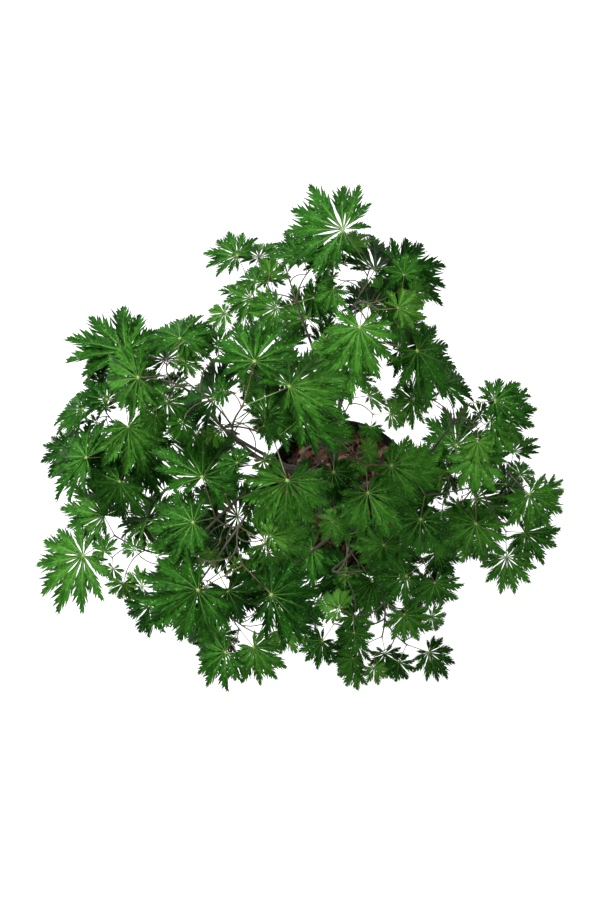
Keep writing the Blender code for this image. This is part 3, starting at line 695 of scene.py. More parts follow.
def blades(leaves, shape, seed):
    # Each lobe is a grid of (row s, step u). A row starts on the midrib and follows a side vein forwards to
    # the margin: point = midrib(s) + |u| run (cos(a + vein), sin(a + vein)). The run grows from a narrow
    # neck to its longest at 0.45 of the lobe, then falls. It is longer in a tooth and shorter in a notch.
    # Height = -fall rho^2 + fold |across| + pleat between veins + lift s^2 - tip fall s^3.
    # Every array is (leaf, lobe, row, step), or as much of that as it needs.
    look = bladeShape
    rng = np.random.default_rng(seed)
    n, lobes = len(leaves), shape["lobes"]
    half = lobes // 2
    q = np.arange(-half, half + 1)
    base = np.sign(q) * np.radians(shape["widest"] * (np.abs(q) / half) ** 1.04)
    spacing = np.radians(shape["widest"] / half) / 2
    angle = base[None] + rng.normal(0, 0.035, (n, lobes))
    length = np.interp(np.abs(base), reachAngles, reachLengths)[None] * rng.uniform(0.92, 1.02, (n, lobes))
    s, kind = bladeRows(shape["periods"])
    u = np.linspace(-1, 1, 2 * shape["steps"] + 1)
    ell = byLobe(length)
    neck = byLeaf(rng.uniform(*look["neck"], n))
    ease = byRow(np.clip((s - 0.14) / 0.14, 0, 1))
    run = byRow(np.interp(s, look["runAt"], look["run"])) * (neck * (1 - ease) + ease)
    run = run * (math.tan(spacing) / 0.242) ** 0.85 * byRow(np.clip(s / 0.06, 0.4, 1))
    tooth = byRow(np.array([0.0, *look["teeth"]])[kind])
    draws = rng.uniform(0.65, 1.35, (n, lobes, len(s), 2))
    run = ell * run * (1 + tooth * np.where(u < 0, draws[..., :1], draws[..., 1:]))
    vein = np.radians(np.interp(s, [0.1, 0.3, 0.9], look["veins"]))
    # the last row lies along the midrib and ends in the lobe's tip
    start = byRow(np.r_[s, 0.93])
    run = np.concatenate([run, 0.105 * ell * np.ones(len(u))], axis=2)
    vein = byRow(np.r_[vein, 0.0])
    pleat = byRow(np.r_[np.array([0.0, 1.0, -0.2, 0.7, -1.0])[kind], 0.0])
    bend = byLobe(rng.normal(0, 0.05, (n, lobes))) + byLobe(0.035 * np.sign(base))
    lean = byLobe(angle) + bend * start ** 2
    way = lean + np.sign(u) * vein * (1 - 0.20 * u * u)
    out = np.abs(u) * run
    x = ell * start * np.cos(lean) + out * np.cos(way)
    y = ell * start * np.sin(lean) + out * np.sin(way)
    across = out * np.sin(vein)
    fall = growth["fall"] + byLeaf(rng.uniform(-1, 1, n)) * look["fallSpread"]
    lift = byLobe(rng.normal(0, look["lift"], (n, lobes)))
    alternate = byLobe(0.007 * (-1.0) ** np.arange(lobes))
    droop = byLobe(rng.uniform(0.4, 1.6, (n, lobes))) * look["tipFall"]
    fold = look["fold"] * byLeaf(rng.uniform(0.6, 1.3, n))
    z = (-fall * (x * x + y * y) + fold * (across - 0.05 * np.clip(start / 0.3, 0, 1))
         + look["pleat"] * pleat * np.sin(math.pi * np.abs(u)) + (lift + alternate) * start ** 2
         - droop * start ** 3)
    points = placed(np.stack([x, y, z], axis=-1), leaves, [leaf.radius for leaf in leaves])
    uv = np.stack(np.broadcast_arrays(u * 0.5 + 0.5, np.clip(start, 0, 1)), axis=-1)
    return points, np.broadcast_to(uv, points.shape[:4] + (2,))


def placed(local, leaves, sizes):
    # local points (leaf, ..., 3), scaled by each leaf's size and set on its centre and axes
    shape = local.shape
    local = local.reshape(len(leaves), -1, 3) * np.array(sizes)[:, None, None]
    axes = np.array([leaf.axes for leaf in leaves])
    centres = np.array([leaf.centre for leaf in leaves])[:, None]
    return (centres + np.einsum("npk,nkj->npj", local, axes)).reshape(shape)


def stripsOf(points):
    # faces for grids (leaf, lobe, row, step), seen from above
    n, lobes, rows, steps = points.shape[:4]
    return repeated(gridFaces(rows, steps), n * lobes, rows * steps)[:, ::-1]


def ribStrips(points, radius):
    # a thin raised strip along each midrib: its edges lie on the blade, its crest a little above
    rib = ribShape
    middle = points.shape[3] // 2
    line = points[:, :, :, middle]
    onward = np.gradient(line, axis=2)
    across = points[:, :, :, middle + 1] - points[:, :, :, middle - 1]
    across -= onward * (across * onward).sum(-1, keepdims=True) / (onward ** 2).sum(-1, keepdims=True)
    across[:, :, -1] = across[:, :, -2]
    across[:, :, 0] = across[:, :, 1]
    across /= np.linalg.norm(across, axis=-1, keepdims=True) + 1e-12
    up = np.cross(onward, across)
    up /= np.linalg.norm(up, axis=-1, keepdims=True) + 1e-12
    keep = max(4, int(line.shape[2] * rib["length"]))
    t = np.linspace(0, 1, keep)
    wide = byRow(rib["width"] * (1 - rib["taper"] * t ** 0.7)) * byLeaf(radius)
    line, across, up = line[:, :, :keep], across[:, :, :keep], up[:, :, :keep]
    side, edge = across * wide, up * rib["edge"]
    crest = line + up * (wide * rib["crest"] + rib["clear"])
    return np.stack([line - side + edge, crest, line + side + edge], axis=3)


def leafFinish(tint):
    # the map's second value is the same all along a side vein, so a noise squeezed in it makes streaks
    _, dark, light, under, vein = leafTints[tint]
    made = Finish("leaf_" + tint, 0.055)
    streaked = made.squeezed("UV", (2.0, 14.0, 1.0))
    streak = made.effect("mottle", streaked, Scale=1.6, Fine=2.5, Contrast=7.0)
    patch = made.effect("mottle", Scale=34.0, Fine=7.0, Contrast=4.5)
    body = made.blend(mixed(made.tree, 0.5, streak, patch), dark, light)
    # a paler line along the midrib, where the map's first value is a half, that fades to the tip
    split = addNode(made.tree, "SeparateXYZ", {0: made.where["UV"]}).outputs
    far = reckon(made.tree, "ABSOLUTE", reckon(made.tree, "SUBTRACT", split["X"], 0.5))
    line = ranged(made.tree, far, 0.0, 0.075, 0.75, 0.0)
    fade = ranged(made.tree, split["Y"], 0.20, 0.80, 1.0, 0.25)
    veined = made.blend(reckon(made.tree, "MULTIPLY", line, fade), body, vein)
    # painted glints: pale spots laid into the leaf colour as highlights of light
    top = made.blend(made.effect("paintedGlints", Scale=310.0), veined, leafPaintedGlint)
    back = addNode(made.tree, "NewGeometry").outputs["Backfacing"]
    relief = made.effect("relief", streaked, Scale=5.0, Cells=0.35)
    return made.done(made.blend(back, top, under), patch, (0.30, 0.50), relief, 0.0014, 0.9)


everyLeaf = [own for grown in masses.values() for own in grown["leaves"]]
leafDeal = random.Random(leafDealing["seed"])
dealt = {(group, tint): [] for group in bladeGroups for tint in leafTints}
for leaf, _ in everyLeaf:
    height = (leaf.centre[2] - leafDealing["low"]) / leafDealing["span"]
    extra = leafDealing["forSmall"] if leaf.radius < leafDealing["small"] else 0.0
    fresh = leafDeal.random() + leafDealing["forHeight"] * height + extra
    group = next(group for group, shape in bladeGroups.items() if leaf.radius > shape["over"])
    dealt[group, next(tint for tint, look in leafTints.items() if fresh < look[0])].append(leaf)

tinted = {tint: [] for tint in leafTints}
ribParts = []
for (group, tint), leaves in dealt.items():
    if leaves:
        seed = 500 + 10 * list(bladeGroups).index(group) + len(tint)
        points, uv = blades(leaves, bladeGroups[group], seed)
        tinted[tint].append((points.reshape(-1, 3), stripsOf(points), uv.reshape(-1, 2)))
        strips = ribStrips(points, np.array([leaf.radius for leaf in leaves]))
        ribParts.append((strips.reshape(-1, 3), stripsOf(strips)))

for tint, parts in tinted.items():
    points, faces, uv = gathered(parts)
    finish = leafFinish(tint)
    pieces = int(np.ceil(len(faces) * 2 / bladeShape["pieceTriangles"]))
    for k in range(pieces):
        mine = faces[len(faces) * k // pieces:len(faces) * (k + 1) // pieces]
        used, order = np.unique(mine, return_inverse=True)
        makePiece(f"leaves_{tint}_{k + 1}", "foliage", finish,
                  points[used], order.reshape(mine.shape), uv[used])
    print("leaves", tint, len(faces) * 2, "triangles in", pieces, "pieces")

# colour pair, roughness pair
stalkLook = {
    "rib": (((0.105, 0.245, 0.036), (0.175, 0.325, 0.062)), (0.45, 0.6)),
    "hub": (((0.22, 0.36, 0.07), (0.33, 0.45, 0.11)), (0.4, 0.55)),
    "green": (((0.120, 0.185, 0.050), (0.200, 0.270, 0.085)), (0.38, 0.55)),
    "red": (((0.120, 0.070, 0.038), (0.190, 0.130, 0.060)), (0.38, 0.55)),
    "petioleRadius": 0.00062, "sides": 6, "rings": 9, "redShare": 0.30,
    "hubRadius": 0.0027, "hubShare": 0.034,    # at most, and as a share of the leaf's radius
}

makePiece("leaf_ribs", "foliage", plainFinish("leaf_rib", *stalkLook["rib"]), *gathered(ribParts))
print("ribs made")


def hubs(leaves, rings=5, sides=10):
    # a low star-shaped knob at each hub: radius = r cos(v) (1 + 0.28 cos 5a), height = 0.55 r sin(v)
    v = np.linspace(-math.pi / 2, math.pi / 2, rings)[:, None]
    a = ringAngles(sides)
    r = np.maximum(np.cos(v), 0.02) * (1 + 0.28 * np.cos(5 * a))
    local = np.stack([r * np.cos(a), r * np.sin(a), 0.55 * np.sin(v) + 0 * a], axis=-1)
    sizes = [min(stalkLook["hubRadius"], leaf.radius * stalkLook["hubShare"]) for leaf in leaves]
    points = placed(np.repeat(local[None], len(leaves), axis=0), leaves, sizes)
    return points, repeated(gridFaces(rings, sides, True), len(leaves), rings * sides)


makePiece("leaf_hubs", "foliage", plainFinish("leaf_hub", *stalkLook["hub"]),
          *hubs([leaf for leaf, _ in everyLeaf]), solid=True)

stalkDeal = random.Random(5)
byColour = {"green": [], "red": []}
for own in everyLeaf:
    byColour["red" if stalkDeal.random() < stalkLook["redShare"] else "green"].append(own)
for colour, members in byColour.items():
    t = np.linspace(0, 1, stalkLook["rings"])
    thick = np.array([min(1.0, 0.62 + leaf.radius * 5) for leaf, _ in members])[:, None]
    thicker = 1 + 0.55 * np.exp(-t / 0.07) + 0.30 * np.exp(-(1 - t) / 0.06)    # towards both ends
    radii = stalkLook["petioleRadius"] * thick * thicker
    paths = [finer(path, stalkLook["rings"]) for _, path in members]
    makePiece("petioles_" + colour, "foliage", plainFinish("petiole_" + colour, *stalkLook[colour]),
              *tubes(paths, radii, stalkLook["sides"]), solid=True)
print("petioles", len(everyLeaf))

barkLook = {
    "trunkSides": 96, "trunkRings": 190, "trunkRelief": 0.00042, "flare": 0.0042,
    "boughSides": 20, "boughRings": 60, "boughRelief": 0.00012, "collar": 0.35,
    "dark": (0.016, 0.011, 0.009), "brown": (0.052, 0.036, 0.026), "grey": (0.110, 0.092, 0.070),
    "green": (0.050, 0.055, 0.028), "wart": (0.20, 0.155, 0.10), "dust": (0.12, 0.10, 0.075),
}


def barkFinish(name, young):
    # streaks that follow the limb through its own map, pale warts across it, greener where it is young
    look = barkLook
    made = Finish(name, 0.32)
    stretched = made.squeezed("UV", (7.0, 1.4, 1.0))
    streak = made.effect("mottle", stretched, Scale=3.0, Fine=4.0, Contrast=2.4)
    patch = made.effect("mottle", Scale=70.0, Fine=5.0, Contrast=2.0)
    ground = made.blend(streak, look["dark"], look["brown"])
    ground = made.blend(ranged(made.tree, patch, 0.45, 1.0, 0.0, 0.55), ground, look["grey"])
    if young:
        age = addNode(made.tree, "Attribute", attribute_name="young")
        ground = made.blend(age.outputs["Fac"], ground, look["green"])
    spots = addNode(made.tree, "TexVoronoi", {"Vector": made.squeezed("UV", (8.0, 14.0, 1.0)), "Scale": 2.0})
    ground = made.blend(ranged(made.tree, spots.outputs["Distance"], 0.16, 0.08), ground, look["wart"])
    ground = made.blend(made.effect("dust", Amount=0.12, Scale=90.0), ground, look["dust"])
    relief = made.effect("relief", stretched, Scale=9.0, Cells=0.25)
    return made.done(ground, streak, (0.62, 0.86), relief, 0.0006, 0.9)


def barkRadii(reach, radii, rings, sides, relief, seed, flare=0.0, collar=0.0):
    # the limb's taper with the bark's relief at each ring and side: long furrows that run with the limb,
    # fine cross wrinkles, root ribs at the foot and a collar where it leaves its parent
    t = np.linspace(0, 1, rings)
    radius = np.interp(t, np.linspace(0, 1, len(radii)), radii)[:, None]
    a = ringAngles(sides)
    far = (t * reach)[:, None]
    ca, sa = np.cos(a), np.sin(a)
    furrow = ripple(ca * 9, sa * 9, far * 70, seed, 4)
    wrinkle = ripple(ca * 3, sa * 3, far * 900, seed + 1, 2)
    broad = ripple(ca * 1.4, sa * 1.4, far * 45, seed + 2, 2)
    height = relief * (1.0 - 2.2 * np.abs(furrow)) + relief * 0.35 * wrinkle + radius * 0.05 * broad
    if flare:
        ribs = np.cos(5 * a + 2.0 * np.sin(a)) * 0.5 + 0.5
        height = height + flare * np.exp(-(far / 0.016) ** 1.3) * (ribs - 0.35)
    if collar:
        height = height + collar * np.exp(-np.clip(far - collar * 2.5, 0, 1) / 0.008)
    return radius + height


def barked(lines, radii, reaches):
    # limbs of one kind as closed tubes, set off from the x axis, or from the y axis where they run along x
    middle = np.gradient(lines, axis=1)[:, lines.shape[1] // 2]
    alongX = np.abs(middle[:, 0]) >= 0.75 * np.linalg.norm(middle, axis=1)
    far = np.pad(np.linspace(0, 1, lines.shape[1]), 1, "edge") * np.array(reaches)[:, None]
    return carried(lines, np.array(radii), np.eye(3)[alongX.astype(int)][:, None], 0.01, far / 0.06)


def smoothed(path, rings, passes=30):
    # evenly spaced points, then each one moved to (before + 2 itself + after) / 4, again and again
    reach = reachAlong(path)
    line = spaced(path, reach, np.linspace(0, 1, rings) * reach[-1])
    for _ in range(passes):
        line[1:-1] = (line[:-2] + 2 * line[1:-1] + line[2:]) / 4
    return line


look = barkLook
trunkPath, trunkRadii = limbs["trunk"]
reach = reachAlong(trunkPath)[-1]
radii = barkRadii(reach, trunkRadii, look["trunkRings"], look["trunkSides"], look["trunkRelief"], 3,
                  flare=look["flare"])
makePiece("trunk_bark", "trunk", barkFinish("bark_old", False),
          *barked(smoothed(trunkPath, look["trunkRings"])[None], [radii], [reach]), solid=True)

rings, sides, relief = look["boughRings"], look["boughSides"], look["boughRelief"]
boughs = [limbs[name] for name in boughTable]
reaches = [reachAlong(path)[-1] for path, _ in boughs]
swollen = []
for k, (_, radii) in enumerate(boughs):
    collar = radii[0] * look["collar"]
    swollen.append(barkRadii(reaches[k], radii, rings, sides, relief, 20 + 3 * k, collar=collar))
taper = np.pad(np.linspace(0, 1, rings), 1, "edge")
thick = np.array([np.interp(taper, [0, 1], radii[[0, -1]]) for _, radii in boughs])
youngAt = np.clip((0.0034 - thick) / 0.0016, 0, 1) * 0.75    # bark is young where a bough is thin
makePiece("bough_bark", "bough", barkFinish("bark_young", True),
          *barked(np.array([finer(path, rings) for path, _ in boughs]), swollen, reaches),
          values={"young": np.repeat(youngAt, sides)}, solid=True)

# colour pair, roughness pair, scale, specular level and depth of the relief
twigLook = {
    "twig": (((0.030, 0.025, 0.016), (0.080, 0.074, 0.042)), (0.5, 0.7), 90.0, 0.4, 0.0004),
    "sprig": (((0.040, 0.038, 0.018), (0.085, 0.090, 0.036)), (0.45, 0.62), 90.0),
    "bud": (((0.10, 0.025, 0.018), (0.19, 0.06, 0.035)), (0.4, 0.55)),
    "rings": 28, "sides": 10, "stemTip": 0.0010, "shoot": (0.00115, 0.00035),
    "sprigRings": 12, "sprigSides": 7, "sprigRadii": (0.00085, 0.00025), "budRadius": 0.0010,
}


def swelling(t, place, width):
    # exp(-((t - place) / width)^2), a knot at a node
    return np.exp(-((t - place) / width) ** 2)


look = twigLook
t = np.linspace(0, 1, look["rings"])
stemPaths, stemRadii = [], []
for name, grown in masses.items():
    stem = finer(grown["twigs"][0][0], look["rings"])
    stem[0] -= unit(stem[1] - stem[0]) * 0.002    # into the bough's tip
    tipRadius = limbs[name][1][-1]
    knots = sum(swelling(t, (k + 1) / grown["nodes"], 0.018) for k in range(grown["nodes"]))
    stemPaths.append(stem)
    stemRadii.append((tipRadius + (look["stemTip"] - tipRadius) * t ** 0.7) * (1 + 0.30 * knots))
    for path, _ in grown["twigs"][1:]:
        knot = swelling(t, 0.97, 0.03) + swelling(t, 0.0, 0.04)
        stemPaths.append(finer(path, look["rings"]))
        stemRadii.append((look["shoot"][0] - look["shoot"][1] * t) * (1 + 0.35 * knot))
makePiece("twigs", "foliage", plainFinish("twig_bark", *look["twig"]),
          *tubes(stemPaths, stemRadii, look["sides"]), solid=True)

t = np.linspace(0, 1, look["sprigRings"])
sprigs = [finer(path, look["sprigRings"]) for grown in masses.values() for path, _ in grown["sprigs"]]
radii = (look["sprigRadii"][0] - look["sprigRadii"][1] * t) * (1 + 0.4 * swelling(t, 0.97, 0.05))
makePiece("sprig_twigs", "foliage", plainFinish("sprig_bark", *look["sprig"]),
          *tubes(sprigs, np.tile(radii, (len(sprigs), 1)), look["sprigSides"]), solid=True)


def buds(paths):
    # a pointed bud in each axil: radius = r sin(pi v^0.75) along its own short axis
    start = np.array([path[0] for path in paths])
    heading = np.array([unit(unit(path[1] - path[0]) + upright(0.9)) for path in paths])
    v = np.linspace(0.02, 0.98, 6)
    line = start[:, None] + heading[:, None] * (0.0004 + 0.0036 * v)[None, :, None]
    radii = twigLook["budRadius"] * np.sin(math.pi * v ** 0.75)
    return tubes(line, np.broadcast_to(radii, line.shape[:2]), 6)


makePiece("buds", "foliage", plainFinish("bud_scale", *look["bud"]),
          *buds([path for _, path in everyLeaf]), solid=True)
print("bark, twigs and buds made")

potShape = {
    "height": 0.215, "rim": 0.125, "collar": 0.024, "step": 0.0026, "wallTop": 0.1195, "base": 0.094,
    "wall": 0.0020, "floor": 0.0026, "sides": 144, "holes": 6, "holeRadius": 0.0065, "holeCircle": 0.070,
    "holeBelt": 0.014, "turn": 0.06, "bands": (0.030, 0.034, 0.158, 0.162),
}


def potProfile():
    # from the floor's edge under the pot, up the outer wall and over the lip, down inside to the floor's edge
    p = potShape
    base, rim, top, floor = p["base"], p["rim"], p["height"], p["floor"]
    collar = top - p["collar"]
    innerTop, innerBase = p["wallTop"] - p["wall"], base - p["wall"]
    z = np.linspace(0.004, collar - 0.0005, 60)
    r = base + (p["wallTop"] - base) * (z - 0.004) / (collar - 0.004)
    bands = sum(0.00055 * swelling(z, middle, 0.0011) for middle in p["bands"])
    outer = [(base - 0.0045, 0.0), (base - 0.0030, 0.0), (base - 0.0012, 0.0006), (base - 0.0003, 0.0020),
             *zip(r - 0.00012 + bands, z)]
    c = p["wallTop"] + p["step"]
    step = [(c - 0.0010, collar + 0.0001), (c - 0.0002, collar + 0.0006), (c, collar + 0.0014),
            (c + 0.0008, collar + 0.0075), (c + 0.0004, collar + 0.0083), (c + 0.0009, collar + 0.0091),
            (rim - 0.0011, top - 0.0062), (rim - 0.0013, top - 0.0055)]
    lip = [(rim - 0.0022 + 0.0022 * math.cos(v), top - 0.0028 + 0.0028 * math.sin(v))
           for v in np.radians(np.linspace(-60, 90, 9))]
    z = np.linspace(collar - 0.006, floor + 0.004, 14)
    r = innerBase + (innerTop - innerBase) * (z - floor - 0.004) / (collar - floor - 0.004)
    inner = [(rim - 0.0030, top - 0.0004), (rim - 0.0036, top - 0.0018),
             (innerTop + p["step"], collar + 0.003), (innerTop + 0.0004, collar + 0.0006), (innerTop, collar),
             *zip(r, z), (innerBase - 0.0015, floor + 0.0012), (base - 0.0045, floor)]
    return np.array(outer + step + lip + inner)


def polar(radii, angles):
    return np.stack([radii * np.cos(angles), radii * np.sin(angles)], axis=-1)


def lathe(profile, sides, start=0.0):
    # (r cos a, r sin a, z) for each point of the profile and each angle
    heights = np.broadcast_to(profile[:, 1:, None], (len(profile), sides, 1))
    points = np.concatenate([polar(profile[:, :1], ringAngles(sides, start)), heights], axis=-1)
    return points.reshape(-1, 3), gridFaces(len(profile), sides, True)


def raised(flat, height):
    return np.c_[flat, np.full(len(flat), height)]


def floorParts():
    # a disc in three belts. The middle belt is six sectors, each a grid between its drain hole and the
    # sector's border: point = hole + v (border - hole); both skins of the floor and the holes' walls.
    p = potShape
    sides, holes, floor = p["sides"], p["holes"], p["floor"]
    edge, near, far = p["base"] - 0.0045, p["holeCircle"] - p["holeBelt"], p["holeCircle"] + p["holeBelt"]
    per = sides // holes
    discs = []
    for radii in (np.linspace(0.0002, near, 9), np.linspace(far, edge, 4)):
        flat = polar(radii[:, None], ringAngles(sides, p["turn"])).reshape(-1, 2)
        discs.append((flat, gridFaces(len(radii), sides, True)))
    arcShare = np.linspace(0, 1, per + 1)
    sideShare = np.linspace(0, 1, 7)[1:-1]
    theta = np.r_[arcShare, np.ones(5), arcShare[::-1], np.zeros(5)] * fullTurn / holes
    radii = np.r_[np.full(per + 1, near), near + (far - near) * sideShare, np.full(per + 1, far),
                  far + (near - far) * sideShare]
    v = (np.linspace(0, 1, 6) ** 1.3)[:, None, None]
    walls = []
    for start in ringAngles(holes, p["turn"]):
        hub = polar(p["holeCircle"], start + math.pi / holes)
        border = polar(radii, start + theta)
        ring = hub + polar(p["holeRadius"], np.arctan2(*(border - hub).T[::-1]))
        discs.append(((ring * (1 - v) + border * v).reshape(-1, 2), gridFaces(6, len(theta), True)))
        walls.append((np.r_[raised(ring, 0.0), raised(ring, floor)], gridFaces(2, len(ring), True)))
    return walls + [(raised(flat, height), quads) for flat, quads in discs for height in (0.0, floor)]


def potFinish():
    made = Finish("pot_plastic", 0.2)
    mask = made.effect("mottle", Scale=35.0, Fine=12.0, Contrast=1.4)
    body = made.blend(mask, (0.0060, 0.0060, 0.0064), (0.0120, 0.0120, 0.0128))
    body = made.blend(made.effect("dust", Amount=0.12, Scale=45.0), body, (0.085, 0.070, 0.055))
    scuffs = noise(made.tree, made.squeezed("Object", (60.0, 60.0, 6.0)), 4.0, 2.0)
    body = made.blend(ranged(made.tree, scuffs, 0.66, 0.72, 0.0, 0.5), body, (0.036, 0.036, 0.038))
    return made.done(body, mask, (0.36, 0.56), made.effect("relief", Scale=900.0, Cells=0.5), 0.00012, 0.7)


wall = lathe(potProfile(), potShape["sides"], potShape["turn"])
makePiece("pot_shell", "pot", potFinish(), *gathered([wall] + floorParts()), solid=True)
print("pot made")

# compost: colour pair, roughness pair, scale, specular level and depth of the relief; chipBark: the same
# without colours; chipTints: colour pair and share of the chips
soilShape = {
    "top": 0.190, "flat": 0.036, "edgeDrop": 0.004, "sides": 180, "rings": 70, "crumbs": (0.0016, 0.0012),
    "compost": (((0.012, 0.007, 0.005), (0.055, 0.028, 0.017)), (0.85, 0.98), 160.0, 0.2, 0.0012),
    "chipBark": ((0.7, 0.92), 140.0, 0.3, 0.0008),
    "chips": 760, "chipLength": (0.008, 0.026), "chipWidth": (0.22, 0.62), "chipThickness": (0.0009, 0.0022),
    "chipsFrom": 0.0205, "chipsTo": 0.108, "heaped": (0.0, 0.0048),
    "wallHeights": (0.18, 0.191, 0.2), "wallRadii": (0.1148, 0.1164, 0.1185),    # chips stay inside these
    "chipTints": {
        "red": (((0.048, 0.014, 0.009), (0.130, 0.040, 0.024)), 0.46),
        "dark": (((0.012, 0.007, 0.005), (0.042, 0.019, 0.013)), 0.40),
        "pale": (((0.120, 0.066, 0.040), (0.240, 0.140, 0.090)), 0.14),
    },
}


def soilSurface():
    # top: a polar grid that falls a little to the wall, with crumbs as ripples; then down the wall and under
    p, s, gap = potShape, soilShape, growth["gap"]
    collar, floor = p["height"] - p["collar"], p["floor"]
    innerBase = p["base"] - p["wall"] - gap
    innerTop = p["wallTop"] - p["wall"] - gap
    edgeZ = s["top"] - s["edgeDrop"]
    edgeR = innerBase + (innerTop - innerBase) * (edgeZ - floor - 0.004) / (collar - floor - 0.004)
    r = np.r_[np.linspace(0.0004, edgeR, s["rings"]), np.linspace(edgeR, innerBase, 14)[1:],
              innerBase - 0.004, 0.0004]
    z = np.r_[np.interp(np.linspace(0, edgeR, s["rings"]), [0, s["flat"], 0.085, edgeR],
                        [s["top"], s["top"], s["top"] - 0.0015, edgeZ]),
              np.linspace(edgeZ, floor + 0.004, 14)[1:], floor + gap, floor + gap]
    points, faces = lathe(np.stack([r, z], axis=1), s["sides"])
    onTop = np.arange(len(points)) < (s["rings"] - 1) * s["sides"]
    x, y = points[:, 0], points[:, 1]
    coarse, fine = s["crumbs"]
    crumbs = ripple(x * 420, y * 420, 0 * x, 60, 4) * coarse + ripple(x * 70, y * 70, 0 * x, 61, 2) * fine
    points[:, 2] += np.where(onTop, crumbs - 0.0008, 0.0)
    return points, faces


def turning(angle, i, j):
    # one matrix for each angle, a turn in the plane of the axes i and j
    turn = np.tile(np.eye(3), (len(angle), 1, 1))
    turn[:, i, i] = turn[:, j, j] = np.cos(angle)
    turn[:, i, j], turn[:, j, i] = -np.sin(angle), np.sin(angle)
    return turn


def chips(count, seed, rows=5, steps=8):
    # flakes of bark: a small grid, x and y a rounded box with a ragged edge, z its thickness
    s = soilShape
    rng = np.random.default_rng(seed)
    v = np.radians(np.array([-88, -40, 0, 40, 88]))[None, :, None]
    a = ringAngles(steps)
    cx = np.sign(np.cos(a)) * np.abs(np.cos(a)) ** 0.55
    cy = np.sign(np.sin(a)) * np.abs(np.sin(a)) ** 0.55
    ragged = 1 + rng.normal(0, 0.17, (count, 1, steps)) + rng.normal(0, 0.07, (count, rows, steps))
    long = (rng.uniform(*s["chipLength"], count) * rng.uniform(0.6, 1.0, count))[:, None, None] / 2
    wide = long * rng.uniform(*s["chipWidth"], count)[:, None, None]
    thick = rng.uniform(*s["chipThickness"], count)[:, None, None]
    bulge = np.abs(np.cos(v)) ** 0.5
    x = long * cx * ragged * bulge
    y = wide * cy * ragged * bulge
    z = thick * np.sin(v) + 0.12 * x * rng.normal(0, 1, (count, 1, 1))
    spin = turning(rng.uniform(0, fullTurn, count), 0, 1)
    tilt = turning(rng.normal(0, 0.28, count), 2, 0)
    roll = turning(rng.normal(0, 0.30, count), 1, 2)
    reach = np.sqrt(rng.uniform(s["chipsFrom"] ** 2, s["chipsTo"] ** 2, count))
    where = rng.uniform(0, fullTurn, count)
    lift = np.interp(reach, [0, s["flat"], 0.112], [s["top"], s["top"], s["top"] - 0.003])
    place = np.c_[polar(reach, where), lift + rng.uniform(*s["heaped"], count)]
    points = np.einsum("nrsk,njk->nrsj", np.stack([x, y, z], axis=-1), spin @ tilt @ roll)
    points += place[:, None, None]
    limit = np.interp(points[..., 2], s["wallHeights"], s["wallRadii"])
    out = np.maximum(np.hypot(points[..., 0], points[..., 1]), 1e-6)
    points[..., :2] *= np.minimum(1.0, limit / out)[..., None]
    top = (rows - 1) * steps
    below = [[0, k + 2, k + 1, k] for k in (1, 3, 5)]
    above = [[top, top + k, top + k + 1, top + k + 2] for k in (1, 3, 5)]
    return points.reshape(count, -1, 3), np.r_[gridFaces(rows, steps, True), below, above]


makePiece("soil_surface", "soil", plainFinish("compost", *soilShape["compost"]), *soilSurface(), solid=True)
flakes, flakeGrid = chips(soilShape["chips"], 9)
drawn = np.random.default_rng(4).random(len(flakes))
low = 0.0
for tint, (pair, share) in soilShape["chipTints"].items():
    mine = flakes[(drawn >= low) & (drawn < low + share)]
    low += share
    makePiece("mulch_" + tint, "soil", plainFinish("mulch_bark_" + tint, pair, *soilShape["chipBark"]),
              mine, repeated(flakeGrid, len(mine), mine.shape[1]), smooth=False)
print("mulch of", len(flakes), "chips")

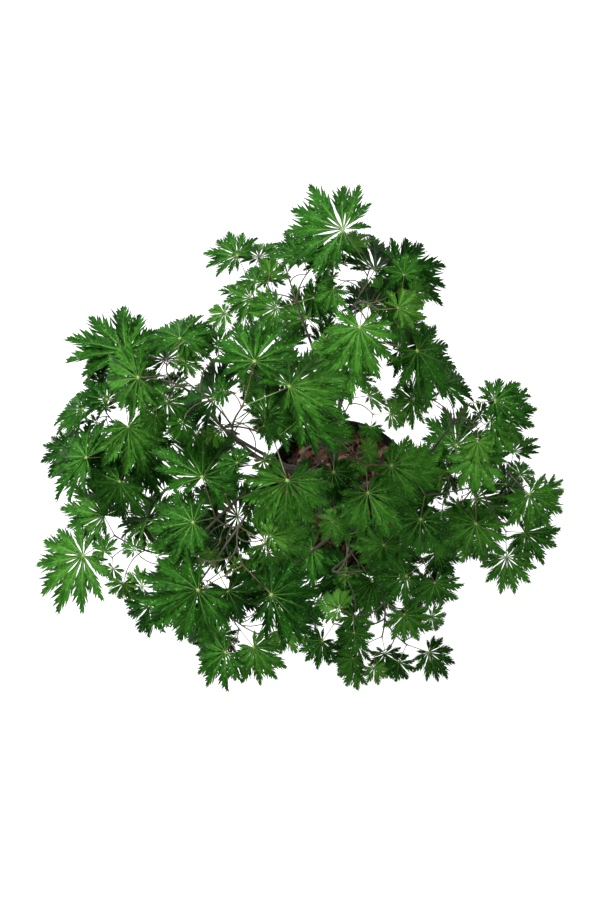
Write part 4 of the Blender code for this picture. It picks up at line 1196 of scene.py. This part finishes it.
studio = {
    "floorColour": (0.50, 0.50, 0.50), "floorGlow": 0.92, "world": 0.08, "lensMillimetres": 55.2,
    "floorHalf": 6, "floorZ": -0.0004, "camera": (-0.0632, -0.3054, 2.3748), "tilt": 10.0,
    # name: place, size, watts; each lamp is aimed at the crown
    "aim": (0.0, 0.0, 0.45),
    "lamps": {"key": ((-1.9, 1.3, 2.5), 0.55, 120.0), "fill": ((0.7, -0.8, 3.1), 0.8, 42.0),
              "front": ((0.1, -2.6, 1.2), 1.4, 10.0), "behind": ((0.2, 2.6, 1.2), 1.4, 10.0)},
}
white = (1.0, 1.0, 1.0)

half, z = studio["floorHalf"], studio["floorZ"]
floorMesh = bpy.data.meshes.new("floor")
corners = [(-half, -half, z), (half, -half, z), (half, half, z), (-half, half, z)]
floorMesh.from_pydata(corners, [], [(0, 1, 2, 3)])
floorPiece = putIn("floor", floorMesh)
floorMaterial = bpy.data.materials.new("studio_floor")
floorMaterial.use_nodes = True
feed(floorMaterial.node_tree.nodes["Principled BSDF"], {
    "Base Color": studio["floorColour"], "Roughness": 0.9, "Specular IOR Level": 0.1,
    "Emission Color": white, "Emission Strength": studio["floorGlow"]})
floorMesh.materials.append(floorMaterial)

# the background is white to the camera and dim as a source of light
world = bpy.data.worlds.new("studio")
bpy.context.scene.world = world
world.use_nodes = True
tree = world.node_tree
dim = tree.nodes["Background"]
feed(dim, {"Color": white, "Strength": studio["world"]})
seen = addNode(tree, "LightPath").outputs["Is Camera Ray"]
bright = addNode(tree, "Background", {"Color": white})
either = addNode(tree, "MixShader", {0: seen, 1: dim.outputs[0], 2: bright.outputs[0]})
feed(tree.nodes["World Output"], {"Surface": either.outputs[0]})

for name, (place, size, watts) in studio["lamps"].items():
    lamp = putIn(name, bpy.data.lights.new(name, "AREA"))
    lamp.data.size = size
    lamp.data.energy = watts
    lamp.location = place
    aim = unit(np.array(studio["aim"]) - np.array(place))
    lamp.rotation_euler = (math.acos(-aim[2]), 0.0, math.atan2(aim[1], aim[0]) - math.pi / 2)

camera = putIn("camera", bpy.data.cameras.new("camera"))
camera.data.lens = studio["lensMillimetres"]
camera.data.clip_end = 50.0
camera.location = studio["camera"]
camera.rotation_euler = (math.radians(studio["tilt"]), 0.0, 0.0)
bpy.context.scene.camera = camera
bpy.context.scene.view_settings.view_transform = "Standard"
bpy.context.scene.view_settings.exposure = 0.0
